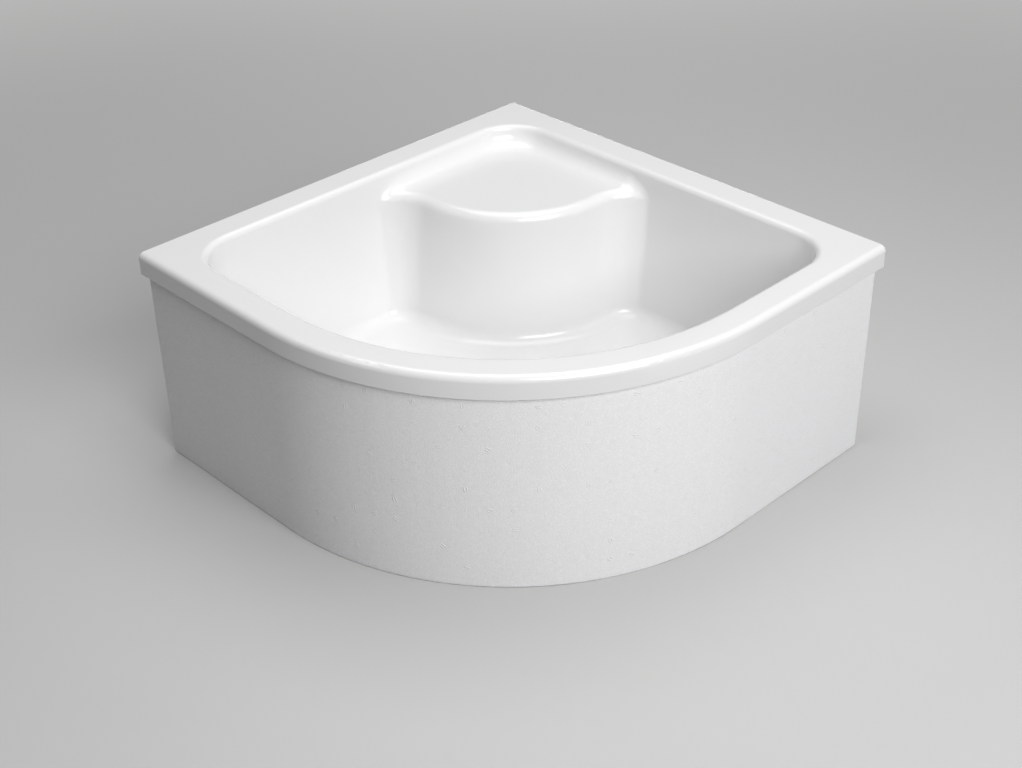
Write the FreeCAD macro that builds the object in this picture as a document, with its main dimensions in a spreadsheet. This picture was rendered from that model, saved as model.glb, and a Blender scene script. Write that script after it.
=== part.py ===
import FreeCAD, Part
import math
import os
import Sketcher

# Driving sizes in millimetres, draft in degrees.
SIZES = {
    # Acrylic tray: plan, rim and lip
    "tray_side": 900,
    "quadrant_radius": 550,
    "tray_height": 410,
    "rim_width": 60,
    "lip_depth": 40,
    "skin": 6,
    "rim_outer_round": 12,
    "rim_inner_round": 12,
    "rim_wall_round": 3,
    # Basin and moulded corner seat
    "wall_draft": 5.5,
    "inner_corner": 85,
    "floor_height": 118,
    "floor_round": 28,
    "seat_drop": 38,
    "seat_reach": 370,
    "seat_shoulder": 154,
    "seat_flare": 84,
    "seat_flare_past": 6,
    "seat_edge_round": 20,
    "seat_blend_round": 30,
    # Drain: fall and recess in the basin floor
    "fall_radius": 100,
    "fall_depth": 3,
    "recess_radius": 60,
    "recess_depth": 4,
    "waste_hole_radius": 45,
    # Stiffening board under the basin floor
    "board": 9,
    "board_margin": 8,
    "board_hole_margin": 4,
    "board_corner": 30,
    # Foam carrier and its bonding
    "carrier_inset": 10,
    "carrier_wall": 38,
    "carrier_fit": 0.5,
    "rim_bond": 2,
    "rim_bond_width": 20,
    "floor_bond": 4,
    "floor_pad_radius": 35,
    "floor_pad_inset": 190,
    "floor_pad_middle": 330,
    "floor_pad_front": 260,
    "seat_pad_radius": 40,
    "seat_pad_inset": 130,
    "seat_block_gap": 6,
    "chamber_radius": 120,
    "channel_width": 110,
    "channel_height": 92,
    # Waste flange, gaskets and screws
    "flange_radius": 58,
    "flange_plate": 2,
    "flange_gasket": 1.5,
    "gasket_margin": 1,
    "sleeve_gap": 1,
    "sleeve_wall": 2,
    "ledge_drop": 13,
    "ledge": 3,
    "ledge_bore": 31,
    "screw_circle": 37.8,
    "screw_radius": 2,
    "screw_length": 20,
    "screw_head_radius": 3.6,
    "screw_head": 2.4,
    "screw_clearance": 0.2,
    "screw_thread_gap": 0.05,
    # Trap body
    "body_gasket": 3,
    "body_flange_radius": 62,
    "body_flange": 4,
    "body_radius": 49.5,
    "body_wall": 3,
    "body_base": 22,
    "lug_width": 11,
    "lug_height": 18,
    "lug_gap": 0.5,
    "lug_reach": 33,
    "locator_wall": 2,
    "locator_height": 5,
    "locator_gap": 0.5,
    # Removable cup, dip tube and strainer
    "cup_radius": 29.5,
    "cup_wall": 1.8,
    "cup_floor": 2.5,
    "cup_rim": 92,
    "collar_radius": 33.4,
    "collar": 2,
    "skirt_radius": 29.2,
    "skirt_depth": 4,
    "funnel_depth": 12,
    "tube_radius": 15,
    "tube_wall": 1.8,
    "tube_end": 41,
    "collar_seal": 1.5,
    "collar_seal_gap": 0.2,
    "strainer_radius": 33,
    "strainer_plate": 1.8,
    "strainer_ring_gap": 0.5,
    "strainer_ring": 3,
    "strainer_hub_radius": 6,
    "strainer_hub": 5.5,
    "slot_width": 3,
    "slot_start": 9,
    "slot_end": 24,
    # Drain cover
    "cover_radius": 55,
    "cover_plate": 2,
    "cover_lift": 3,
    "cover_crown": 5,
    "cover_bevel": 3,
    "cover_foot_radius": 3,
    "cover_foot_circle": 50,
    "cover_stem_radius": 4,
    # Outlet: socket, pipe, seal and union nut
    "outlet_rise": 22,
    "outlet_bore": 21,
    "pipe_radius": 25,
    "pipe_wall": 1.8,
    "pipe_length": 106,
    "pipe_gap": 0.3,
    "pipe_stop": 3,
    "pipe_stop_height": 2.2,
    "pipe_stop_gap": 0.5,
    "socket_wall": 3.7,
    "socket_start": 44,
    "socket_shoulder": 52,
    "socket_end": 82,
    "seal_length": 4,
    "nut_thread_gap": 0.3,
    "nut_wall": 5,
    "nut_cover": 16,
    "nut_end": 4,
    "nut_lug_radius": 4,
}

SLOT_COUNT = 12
SCREW_COUNT = 3
FOOT_COUNT = 3
NUT_LUG_COUNT = 8

doc = FreeCAD.newDocument("QuadrantTray")
sheet = doc.addObject("Spreadsheet::Sheet", "Sizes")
for row, (alias, number) in enumerate(SIZES.items(), start=1):
    sheet.set(f"A{row}", alias.replace("_", " "))
    sheet.set(f"B{row}", str(number))
    sheet.setAlias(f"B{row}", alias)
doc.recompute()


class Size:
    """A length that is known both as a number and as a sheet expression."""

    def __init__(self, number, text=None):
        self.number = float(number)
        self.text = text if text else str(number)

    def combine(self, other, sign, number):
        return Size(number, f"({self.text} {sign} {other.text})")

    def __add__(self, other):
        other = as_size(other)
        return self.combine(other, "+", self.number + other.number)

    def __sub__(self, other):
        other = as_size(other)
        return self.combine(other, "-", self.number - other.number)

    def __mul__(self, other):
        other = as_size(other)
        return self.combine(other, "*", self.number * other.number)

    def __truediv__(self, other):
        other = as_size(other)
        return self.combine(other, "/", self.number / other.number)

    def __neg__(self):
        return Size(-self.number, f"(-1 * {self.text})")


def as_size(value):
    """Plain numbers join size sums as they are."""
    return value if isinstance(value, Size) else Size(value)


class Sheet:
    """Every cell of the sheet as a Size, by its alias."""

    def __getattr__(self, alias):
        return Size(getattr(sheet, alias), f"Sizes.{alias}")


mm = Sheet()
ZERO = Size(0)
# Share of a length on the diagonal that runs along X or Y
DIAGONAL = Size(math.sqrt(0.5), "sqrt(0.5)")


def slope(angle):
    """Tangent of a draft angle."""
    return Size(math.tan(math.radians(angle.number)), f"tan({angle.text})")


# Levels above the ground and places shared by several pieces
HALF = mm.tray_side / 2
SEAT_HEIGHT = mm.tray_height - mm.seat_drop
# Rounded front of the seat, and the line on the side wall that its flared ends run towards
SEAT_FRONT = mm.seat_reach - mm.seat_shoulder
SEAT_SIDE = mm.rim_width + mm.seat_drop * slope(mm.wall_draft) - mm.seat_flare_past
# How far the drafted walls come in at the basin floor, under the rim and under the seat
FLOOR_SUNK = (mm.tray_height - mm.floor_height) * slope(mm.wall_draft)
SEAT_SUNK = (SEAT_HEIGHT - mm.floor_height) * slope(mm.wall_draft)
# The drain lies half way between the foot of the seat and the foot of the rounded front
SEAT_FOOT = mm.seat_shoulder + (SEAT_FRONT + SEAT_SUNK) * DIAGONAL
FRONT_RADIUS = mm.quadrant_radius - mm.rim_width - FLOOR_SUNK
FRONT_FOOT = mm.tray_side - mm.quadrant_radius + FRONT_RADIUS * DIAGONAL
DRAIN_OFFSET = (SEAT_FOOT + FRONT_FOOT) / 2
DRAIN_X = DRAIN_OFFSET - HALF
DRAIN_Y = HALF - DRAIN_OFFSET
FALL_LOW = mm.floor_height - mm.fall_depth
RECESS_FLOOR = FALL_LOW - mm.recess_depth
RECESS_UNDER = RECESS_FLOOR - mm.skin
FLOOR_UNDER = mm.floor_height - mm.skin
BOARD_UNDER = FLOOR_UNDER - mm.board
RING_TOP = mm.tray_height - mm.skin - mm.rim_bond
SLAB_TOP = BOARD_UNDER - mm.floor_bond
SEAT_BLOCK_TOP = SEAT_HEIGHT - mm.skin - mm.floor_bond
CARRIER_INNER = mm.carrier_inset + mm.carrier_wall
RING_CORNER = mm.inner_corner + mm.rim_width - CARRIER_INNER
CHANNEL_LEFT = DRAIN_X - mm.channel_width / 2
CHANNEL_RIGHT = DRAIN_X + mm.channel_width / 2
FLANGE_UNDER = RECESS_FLOOR + mm.flange_gasket
FLANGE_TOP = FLANGE_UNDER + mm.flange_plate
LEDGE_TOP = FLANGE_TOP - mm.ledge_drop
LEDGE_UNDER = LEDGE_TOP - mm.ledge
BODY_TOP = RECESS_UNDER - mm.body_gasket
BODY_FLOOR = mm.body_base + mm.body_wall
BODY_BORE = mm.body_radius - mm.body_wall
COLLAR_UNDER = LEDGE_TOP + mm.collar_seal
COLLAR_TOP = COLLAR_UNDER + mm.collar
STRAINER_TOP = COLLAR_TOP + mm.strainer_plate
HUB_TOP = STRAINER_TOP + mm.strainer_hub
OUTLET_HEIGHT = BODY_FLOOR + mm.outlet_rise
SOCKET_BORE = mm.pipe_radius + mm.pipe_gap
SOCKET_RADIUS = SOCKET_BORE + mm.socket_wall
NUT_BORE = SOCKET_RADIUS + mm.nut_thread_gap
SEAL_END = mm.socket_end + mm.seal_length

# Tolerances for finding edges (mm), for a drafted wall at its sharp corner, and for a change of volume
NEAR = 0.05
WALL_NEAR = 0.5
CLEAR_OF = 1
BESIDE_SEAT = 1.25
LEAST_CHANGE = 0.001

parts = []


def bind(thing, name, size):
    """Ties one property of a feature to the sheet."""
    thing.setExpression(name, size.text)


def new_body(label, place=None, kept=True):
    """Empty body, placed on the drain axis where asked, kept as a sub-part or used as a tool."""
    body = doc.addObject("PartDesign::Body", label)
    body.Label = label
    if place:
        for axis, size in zip("xyz", place):
            bind(body, f"Placement.Base.{axis}", size)
    if kept:
        parts.append(body)
    return body


ON_DRAIN = (DRAIN_X, DRAIN_Y, ZERO)


def new_sketch(body, name, plane="XY_Plane", lift=ZERO, across=ZERO, up=ZERO):
    """Sketch on an origin plane of its body, lifted along the normal and shifted in the plane."""
    sketch = body.newObject("Sketcher::SketchObject", name)
    support = [f for f in body.Origin.OriginFeatures if f.Role == plane][0]
    sketch.AttachmentSupport = [(support, "")]
    sketch.MapMode = "FlatFace"
    for axis, size in (("x", across), ("y", up), ("z", lift)):
        bind(sketch, f"AttachmentOffset.Base.{axis}", size)
    return sketch


def dimension(sketch, kind, places, size):
    """Driving dimension tied to the sheet."""
    number = sketch.addConstraint(Sketcher.Constraint(kind, *places, size.number))
    sketch.setExpression(f"Constraints[{number}]", size.text)


def locate(sketch, index, point, across, up):
    """Fixes one point of a curve from the sketch origin."""
    for kind, size in (("DistanceX", across), ("DistanceY", up)):
        if size is not None:
            dimension(sketch, kind, (-1, 1, index, point), size)


def draw_circle(sketch, across, up, radius):
    """Circle with a bound centre and radius."""
    centre = FreeCAD.Vector(across.number, up.number, 0)
    index = sketch.addGeometry(Part.Circle(centre, FreeCAD.Vector(0, 0, 1), radius.number))
    locate(sketch, index, 3, across, up)
    dimension(sketch, "Radius", (index,), radius)


def draw_profile(sketch, points):
    """Closed polygon whose corners are bound one by one."""
    vectors = [FreeCAD.Vector(across.number, up.number, 0) for across, up in points]
    first = sketch.GeometryCount
    for start, end in zip(vectors, vectors[1:] + vectors[:1]):
        sketch.addGeometry(Part.LineSegment(start, end))
    for step, (across, up) in enumerate(points):
        before = first + (step - 1) % len(points)
        sketch.addConstraint(Sketcher.Constraint("Coincident", before, 2, first + step, 1))
        locate(sketch, first + step, 1, across, up)


def draw_rounded(sketch, corners):
    """Closed path of lines along X and Y, with an arc at each corner that has a radius."""
    count = len(corners)
    vectors = [FreeCAD.Vector(across.number, up.number, 0) for across, up, radius in corners]
    heading = [(vectors[(n + 1) % count] - vectors[n]).normalize() for n in range(count)]
    cut = [radius.number if radius else 0.0 for across, up, radius in corners]
    lines = []
    for n in range(count):
        after = (n + 1) % count
        start = vectors[n] + heading[n] * cut[n]
        end = vectors[after] - heading[n] * cut[after]
        lines.append(sketch.addGeometry(Part.LineSegment(start, end)))
    for n, (across, up, radius) in enumerate(corners):
        upright = abs(heading[n].y) > abs(heading[n].x)
        sketch.addConstraint(Sketcher.Constraint("Vertical" if upright else "Horizontal", lines[n]))
        locate(sketch, lines[n], 1, across if upright else None, None if upright else up)
        if radius is None:
            sketch.addConstraint(Sketcher.Constraint("Coincident", lines[n - 1], 2, lines[n], 1))
            continue
        inward = heading[n] - heading[n - 1]
        centre = vectors[n] + inward * cut[n]
        turns_left = heading[n - 1].cross(heading[n]).z > 0
        first = -heading[n] if turns_left else heading[n - 1]
        begin = math.atan2(first.y, first.x)
        circle = Part.Circle(centre, FreeCAD.Vector(0, 0, 1), cut[n])
        arc = sketch.addGeometry(Part.ArcOfCircle(circle, begin, begin + math.pi / 2))
        entry, leave = (1, 2) if turns_left else (2, 1)
        sketch.addConstraint(Sketcher.Constraint("Tangent", lines[n - 1], 2, arc, entry))
        sketch.addConstraint(Sketcher.Constraint("Tangent", arc, leave, lines[n], 1))
        dimension(sketch, "Radius", (arc,), radius)


def draw_box(sketch, left, right, low, high):
    """Plain rectangle."""
    draw_rounded(sketch, [(left, low, None), (right, low, None), (right, high, None), (left, high, None)])


def quadrant(inset, corner=None):
    """Corners of the tray's plan at one distance inside its outer edge."""
    half = HALF - inset
    arc = mm.quadrant_radius - inset
    return [(-half, half, corner), (-half, -half, corner), (half, -half, arc), (half, half, corner)]


def seat_plan(start, reach, radius, corner=None):
    """Corners of the seat's plan, from the wall corner out to its rounded front."""
    wall_x = start - HALF
    front_x = reach - HALF
    return [(wall_x, -wall_x, corner), (wall_x, -front_x, None), (front_x, -front_x, radius),
            (front_x, -wall_x, None)]


def flared_seat_plan(offset):
    """Corners of the seat's plan whose rounded front flares out to the side walls, swollen by an offset."""
    wall_x = -HALF
    side_x = SEAT_SIDE - offset - HALF
    front_x = mm.seat_reach - offset - HALF
    flare = mm.seat_flare + offset
    past_x = front_x + flare + flare
    return [(wall_x, -wall_x, None), (wall_x, -past_x, None), (side_x, -past_x, None),
            (side_x, -front_x, flare), (front_x, -front_x, SEAT_FRONT - offset), (front_x, -side_x, flare),
            (past_x, -side_x, None), (past_x, -wall_x, None)]


def volume(body):
    """Volume of a body so far."""
    return body.Shape.Volume if body.Tip and not body.Shape.isNull() else 0.0


def check_change(feature, before):
    """A feature that fails, or leaves the volume as it was, has missed its solid."""
    doc.recompute()
    if feature.Shape.isNull() or not feature.Shape.isValid():
        raise RuntimeError(f"{feature.Name} has no valid shape")
    if abs(feature.Shape.Volume - before) < LEAST_CHANGE:
        raise RuntimeError(f"{feature.Name} changes nothing")


def extrude(body, kind, sketch, length, down=False, back=False, taper=None):
    """Pad or pocket, up from a level sketch and forward from an upright one unless told otherwise."""
    before = volume(body)
    feature = body.newObject(f"PartDesign::{kind}", f"{sketch.Name}_{kind}")
    feature.Profile = sketch
    against_normal = down or back
    feature.Reversed = against_normal if kind == "Pad" else not against_normal
    bind(feature, "Length", length)
    if taper:
        bind(feature, "TaperAngle", taper)
    check_change(feature, before)
    return feature


def pad(body, sketch, length, **options):
    """Solid added from a sketch."""
    return extrude(body, "Pad", sketch, length, **options)


def pocket(body, sketch, length, **options):
    """Solid taken away from a sketch."""
    return extrude(body, "Pocket", sketch, length, **options)


def turn(body, name, points, kind="Revolution", plane="XZ_Plane", axis="V_Axis", **shift):
    """Profile of radius and height turned about an axis of its sketch."""
    sketch = new_sketch(body, name, plane, **shift)
    draw_profile(sketch, points)
    before = volume(body)
    feature = body.newObject(f"PartDesign::{kind}", f"{name}_{kind}")
    feature.Profile = sketch
    feature.ReferenceAxis = (sketch, [axis])
    feature.Angle = 360
    check_change(feature, before)
    return feature


def repeat_round(body, feature, axis_sketch, count, sweep=360, axis="N_Axis"):
    """Even copies of a feature about an axis of a sketch."""
    pattern = body.newObject("PartDesign::PolarPattern", f"{feature.Name}_Round")
    pattern.Originals = [feature]
    pattern.Axis = (axis_sketch, [axis])
    pattern.Angle = sweep
    pattern.Occurrences = count
    body.Tip = pattern
    doc.recompute()
    return pattern


def soften(body, name, radius, test):
    """Fillet of the edges that pass a test on the body's present shape."""
    before = volume(body)
    base = body.Tip
    chosen = [f"Edge{n}" for n, edge in enumerate(base.Shape.Edges, start=1) if test(edge)]
    if not chosen:
        raise RuntimeError(f"{name} finds no edge")
    feature = body.newObject("PartDesign::Fillet", name)
    feature.Base = (base, chosen)
    bind(feature, "Radius", radius)
    check_change(feature, before)
    return feature


def join(body, name, kind, tool):
    """Body combined with a tool body."""
    before = volume(body)
    feature = body.newObject("PartDesign::Boolean", name)
    feature.setObjects([tool])
    feature.Type = kind
    body.Tip = feature
    check_change(feature, before)
    return feature


def middle(edge):
    """Point half way along an edge."""
    first, last = edge.ParameterRange
    return edge.valueAt((first + last) / 2)


def level(edge, height):
    """True where the whole edge lies at one height."""
    box = edge.BoundBox
    return abs(box.ZMin - height.number) < NEAR and abs(box.ZMax - height.number) < NEAR


def from_walls(point):
    """Distances of a point from the two room walls."""
    half = HALF.number
    return point.x + half, half - point.y


def basin_form(name, offset):
    """Solid form of the basin with its seat cut out, swollen by an offset from the seen surface."""
    body = new_body(name, kept=False)
    inset = mm.rim_width - offset
    outline = new_sketch(body, f"{name}_Rim", lift=mm.tray_height)
    draw_rounded(outline, quadrant(inset, mm.inner_corner + offset))
    floor = mm.floor_height - offset
    pad(body, outline, mm.tray_height - floor, down=True, taper=-mm.wall_draft)
    seat_top = SEAT_HEIGHT - offset
    reach = mm.seat_reach - offset
    front = new_sketch(body, f"{name}_Seat", lift=seat_top)
    draw_rounded(front, flared_seat_plan(offset))
    pocket(body, front, seat_top, down=True, taper=mm.wall_draft)

    def wall_inset(point):
        return inset.number + (mm.tray_height.number - point.z) * slope(mm.wall_draft).number

    def on_front(edge):
        point = middle(edge)
        near, far = sorted(from_walls(point))
        return level(edge, seat_top) and far > reach.number / 2 and near > wall_inset(point) + CLEAR_OF

    def on_blend(edge):
        point = middle(edge)
        near, far = sorted(from_walls(point))
        if edge.BoundBox.ZMax > seat_top.number + NEAR or edge.BoundBox.ZMax < floor.number + CLEAR_OF:
            return False
        in_corner = level(edge, seat_top) and far < reach.number / 2
        on_wall = abs(near - wall_inset(point)) < WALL_NEAR
        return in_corner or on_wall and far < reach.number * BESIDE_SEAT

    soften(body, f"{name}_SeatEdge", mm.seat_edge_round, on_front)
    soften(body, f"{name}_SeatBlend", mm.seat_blend_round, on_blend)
    soften(body, f"{name}_FloorRound", mm.floor_round + offset, lambda edge: level(edge, floor))
    return body


def tray_shell():
    """Rim plate and lip joined to the basin: one formed sheet of even thickness."""
    hollow = basin_form("BasinInside", ZERO)
    outside = basin_form("BasinOutside", mm.skin)
    body = new_body("tray_shell")
    plate = new_sketch(body, "RimPlate", lift=mm.tray_height)
    draw_rounded(plate, quadrant(ZERO))
    pad(body, plate, mm.skin, down=True)
    lip = new_sketch(body, "Lip", lift=mm.tray_height)
    draw_rounded(lip, quadrant(ZERO))
    draw_rounded(lip, quadrant(mm.skin))
    pad(body, lip, mm.lip_depth, down=True)
    join(body, "WithBasin", "Fuse", outside)
    join(body, "Hollowed", "Cut", hollow)
    drain_recess(body)
    rim_rounds(body)


def drain_recess(body):
    """Fall to the drain and a flat-bottomed recess, formed down through the floor sheet."""
    at_drain = {"across": DRAIN_X, "lift": -DRAIN_Y}
    edge = mm.recess_radius + mm.skin
    turn(body, "DrainUnder", [(ZERO, FLOOR_UNDER), (mm.fall_radius, FLOOR_UNDER), (edge, FALL_LOW - mm.skin),
                              (edge, RECESS_UNDER), (ZERO, RECESS_UNDER)], **at_drain)
    turn(body, "DrainTop", [(ZERO, mm.floor_height), (mm.fall_radius, mm.floor_height),
                            (mm.recess_radius, FALL_LOW), (mm.recess_radius, RECESS_FLOOR),
                            (ZERO, RECESS_FLOOR)], kind="Groove", **at_drain)
    hole = new_sketch(body, "WasteHole", across=DRAIN_X, up=DRAIN_Y)
    draw_circle(hole, ZERO, ZERO, mm.waste_hole_radius)
    pocket(body, hole, mm.floor_height)


def rim_rounds(body):
    """Soft rim: outer and inner rolls, each with its matching inside roll, and eased wall edges."""
    under = mm.tray_height - mm.skin

    def inset(edge):
        near, far = from_walls(middle(edge))
        side = mm.tray_side.number
        arc = math.hypot(middle(edge).x + HALF.number - side + mm.quadrant_radius.number,
                         HALF.number - middle(edge).y - side + mm.quadrant_radius.number)
        beside = min(near, far, side - near, side - far)
        if min(near, far) > side - mm.quadrant_radius.number:
            return mm.quadrant_radius.number - arc
        return beside

    def at_wall(point):
        return abs(point.x + HALF.number) < NEAR or abs(point.y - HALF.number) < NEAR

    def outer(edge):
        return level(edge, mm.tray_height) and inset(edge) < NEAR and not at_wall(middle(edge))

    def inner(edge):
        return level(edge, mm.tray_height) and inset(edge) > mm.rim_width.number / 2

    def lip_inside(edge):
        return level(edge, under) and inset(edge) < mm.rim_width.number / 2

    def basin_outside(edge):
        return level(edge, under) and inset(edge) > mm.rim_width.number / 2

    def wall_edge(edge):
        ends = [vertex.Point for vertex in edge.Vertexes]
        in_plane = all(abs(p.x + HALF.number) < NEAR for p in ends + [middle(edge)])
        in_plane = in_plane or all(abs(p.y - HALF.number) < NEAR for p in ends + [middle(edge)])
        return in_plane and edge.BoundBox.ZMax > mm.tray_height.number - NEAR

    soften(body, "RimOuter", mm.rim_outer_round, outer)
    soften(body, "RimInner", mm.rim_inner_round, inner)
    soften(body, "LipInside", mm.rim_outer_round - mm.skin, lip_inside)
    soften(body, "BasinUnderRim", mm.rim_inner_round - mm.skin, basin_outside)
    soften(body, "RimAtWall", mm.rim_wall_round, wall_edge)


def floor_board():
    """Flat stiffening board bonded under the basin floor, cut away round the drain and the seat."""
    body = new_body("floor_board")
    inset = mm.rim_width + FLOOR_SUNK + mm.floor_round + mm.board_margin
    half = HALF - inset
    reach = mm.seat_reach + SEAT_SUNK + mm.floor_round + mm.board_margin
    seat_x = reach - HALF
    outline = new_sketch(body, "BoardPlan", lift=FLOOR_UNDER)
    draw_rounded(outline, [(-half, -seat_x, None), (-half, -half, mm.board_corner),
                           (half, -half, mm.quadrant_radius - inset), (half, half, mm.board_corner),
                           (seat_x, half, None), (seat_x, -seat_x, SEAT_FRONT)])
    pad(body, outline, mm.board, down=True)
    hole = new_sketch(body, "BoardHole", lift=FLOOR_UNDER, across=DRAIN_X, up=DRAIN_Y)
    draw_circle(hole, ZERO, ZERO, mm.fall_radius + mm.board_hole_margin)
    pocket(body, hole, mm.board, down=True)


def carrier_ring():
    """Full-height foam wall that follows the rim, with a notch for the waste pipe at the back."""
    body = new_body("carrier_ring")
    outline = new_sketch(body, "RingPlan")
    draw_rounded(outline, quadrant(mm.carrier_inset))
    draw_rounded(outline, quadrant(CARRIER_INNER, RING_CORNER))
    pad(body, outline, RING_TOP)
    notch = new_sketch(body, "PipeNotch", "XZ_Plane")
    draw_box(notch, CHANNEL_LEFT, CHANNEL_RIGHT, ZERO, mm.channel_height)
    pocket(body, notch, HALF, back=True)


def carrier_base():
    """Foam slab under the floor board, with the trap chamber and the channel to the back wall."""
    body = new_body("carrier_base")
    inset = CARRIER_INNER + mm.carrier_fit
    outline = new_sketch(body, "SlabPlan")
    draw_rounded(outline, quadrant(inset, RING_CORNER - mm.carrier_fit))
    pad(body, outline, SLAB_TOP)
    chamber = new_sketch(body, "TrapChamber", across=DRAIN_X, up=DRAIN_Y)
    draw_circle(chamber, ZERO, ZERO, mm.chamber_radius)
    pocket(body, chamber, SLAB_TOP)
    channel = new_sketch(body, "PipeChannel")
    draw_box(channel, CHANNEL_LEFT, CHANNEL_RIGHT, DRAIN_Y, HALF)
    pocket(body, channel, SLAB_TOP)


def carrier_seat_block():
    """Foam block that stands on the slab and carries the seat."""
    body = new_body("carrier_seat_block")
    outline = new_sketch(body, "SeatBlockPlan", lift=SLAB_TOP)
    shrink = mm.skin + mm.seat_block_gap
    draw_rounded(outline, seat_plan(CARRIER_INNER + mm.carrier_fit, mm.seat_reach - shrink,
                                    SEAT_FRONT - shrink, RING_CORNER - mm.carrier_fit))
    pad(body, outline, SEAT_BLOCK_TOP - SLAB_TOP)


def bonding():
    """Adhesive between the foam and the tray: a strip under the rim, pads under floor and seat."""
    strip = new_body("rim_bond_strip")
    outline = new_sketch(strip, "StripPlan", lift=RING_TOP)
    outer = mm.carrier_inset + (mm.carrier_wall - mm.rim_bond_width) / 2
    draw_rounded(outline, quadrant(outer))
    inner = outer + mm.rim_bond_width
    draw_rounded(outline, quadrant(inner, RING_CORNER + CARRIER_INNER - inner))
    pad(strip, outline, mm.rim_bond)

    inset = mm.floor_pad_inset
    inward = mm.floor_pad_middle
    front = mm.tray_side - mm.floor_pad_front
    bond_pads("floor_bond_pads", SLAB_TOP, mm.floor_pad_radius,
              ((inset, front), (inward, front), (front, inset), (front, inward)))
    near = mm.seat_pad_inset
    far = mm.seat_reach - mm.seat_pad_inset
    bond_pads("seat_bond_pads", SEAT_BLOCK_TOP, mm.seat_pad_radius, ((near, near), (far, near), (near, far)))


def bond_pads(label, height, radius, places):
    """Round pads of adhesive on one piece of foam, placed by their distances from the two walls."""
    body = new_body(label)
    body.AllowCompound = True
    spots = new_sketch(body, f"{label}_Plan", lift=height)
    for from_left, from_back in places:
        draw_circle(spots, from_left - HALF, HALF - from_back, radius)
    pad(body, spots, mm.floor_bond)


def waste_flange():
    """Clamping ring: flat rim in the recess, sleeve through the tray and an inner ledge."""
    body = new_body("waste_flange", ON_DRAIN)
    sleeve = mm.waste_hole_radius - mm.sleeve_gap
    bore = sleeve - mm.sleeve_wall
    turn(body, "FlangeProfile", [
        (mm.ledge_bore, LEDGE_UNDER), (sleeve, LEDGE_UNDER), (sleeve, FLANGE_UNDER),
        (mm.flange_radius, FLANGE_UNDER), (mm.flange_radius, FLANGE_TOP), (bore, FLANGE_TOP),
        (bore, LEDGE_TOP), (mm.ledge_bore, LEDGE_TOP)])
    hole = new_sketch(body, "FlangeScrewHole", lift=LEDGE_TOP)
    draw_circle(hole, mm.screw_circle, ZERO, mm.screw_radius + mm.screw_clearance)
    first = pocket(body, hole, mm.ledge, down=True)
    repeat_round(body, first, hole, SCREW_COUNT)


def ring(label, inner, outer, low, high):
    """Flat ring about the drain axis."""
    body = new_body(label, ON_DRAIN)
    turn(body, f"{label}_Section", [(inner, low), (outer, low), (outer, high), (inner, high)])


def gaskets():
    """Seals above and below the tray floor round the waste hole."""
    inner = mm.waste_hole_radius + mm.gasket_margin
    ring("flange_gasket", inner, mm.flange_radius - mm.gasket_margin, RECESS_FLOOR, FLANGE_UNDER)
    ring("body_gasket", inner, mm.body_flange_radius - mm.gasket_margin, BODY_TOP, RECESS_UNDER)


def flange_screws():
    """Screws that pull the flange down to the trap body."""
    body = new_body("flange_screws", ON_DRAIN)
    body.AllowCompound = True
    shank = new_sketch(body, "ScrewShank", lift=LEDGE_TOP)
    draw_circle(shank, mm.screw_circle, ZERO, mm.screw_radius)
    stem = pad(body, shank, mm.screw_length, down=True)
    head = new_sketch(body, "ScrewHead", lift=LEDGE_TOP)
    draw_circle(head, mm.screw_circle, ZERO, mm.screw_head_radius)
    cap = pad(body, head, mm.screw_head)
    pattern = repeat_round(body, stem, shank, SCREW_COUNT)
    pattern.Originals = [stem, cap]
    doc.recompute()


def trap_body():
    """Flanged cup under the tray, with screw lugs, a locating ring and the outlet socket."""
    body = new_body("trap_body", ON_DRAIN)
    turn(body, "BodyOutside", [
        (ZERO, mm.body_base), (mm.body_radius, mm.body_base), (mm.body_radius, BODY_TOP - mm.body_flange),
        (mm.body_flange_radius, BODY_TOP - mm.body_flange), (mm.body_flange_radius, BODY_TOP),
        (ZERO, BODY_TOP)])
    socket = new_sketch(body, "OutletSocket", "XZ_Plane", lift=-mm.socket_start)
    draw_circle(socket, ZERO, OUTLET_HEIGHT, SOCKET_RADIUS)
    pad(body, socket, mm.socket_end - mm.socket_start, back=True)
    mouth = new_sketch(body, "SocketMouth", "XZ_Plane", lift=-mm.socket_shoulder)
    draw_circle(mouth, ZERO, OUTLET_HEIGHT, SOCKET_BORE)
    pocket(body, mouth, mm.socket_end - mm.socket_shoulder, back=True)
    inside = new_sketch(body, "BodyInside", lift=BODY_TOP)
    draw_circle(inside, ZERO, ZERO, BODY_BORE)
    pocket(body, inside, BODY_TOP - BODY_FLOOR, down=True)
    bore = new_sketch(body, "OutletBore", "XZ_Plane")
    draw_circle(bore, ZERO, OUTLET_HEIGHT, mm.outlet_bore)
    pocket(body, bore, mm.socket_end, back=True)
    lug_top = LEDGE_UNDER - mm.lug_gap
    lug = new_sketch(body, "ScrewLug", lift=lug_top)
    draw_box(lug, mm.lug_reach, mm.body_radius, -mm.lug_width / 2, mm.lug_width / 2)
    block = pad(body, lug, mm.lug_height, down=True)
    repeat_round(body, block, lug, SCREW_COUNT)
    pilot = new_sketch(body, "ScrewPilot", lift=lug_top)
    draw_circle(pilot, mm.screw_circle, ZERO, mm.screw_radius + mm.screw_thread_gap)
    thread = pocket(body, pilot, mm.lug_height, down=True)
    repeat_round(body, thread, pilot, SCREW_COUNT)
    inner = mm.cup_radius + mm.locator_gap
    outer = inner + mm.locator_wall
    top = BODY_FLOOR + mm.locator_height
    turn(body, "CupLocator", [(inner, mm.body_base), (outer, mm.body_base), (outer, top), (inner, top)])


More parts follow.
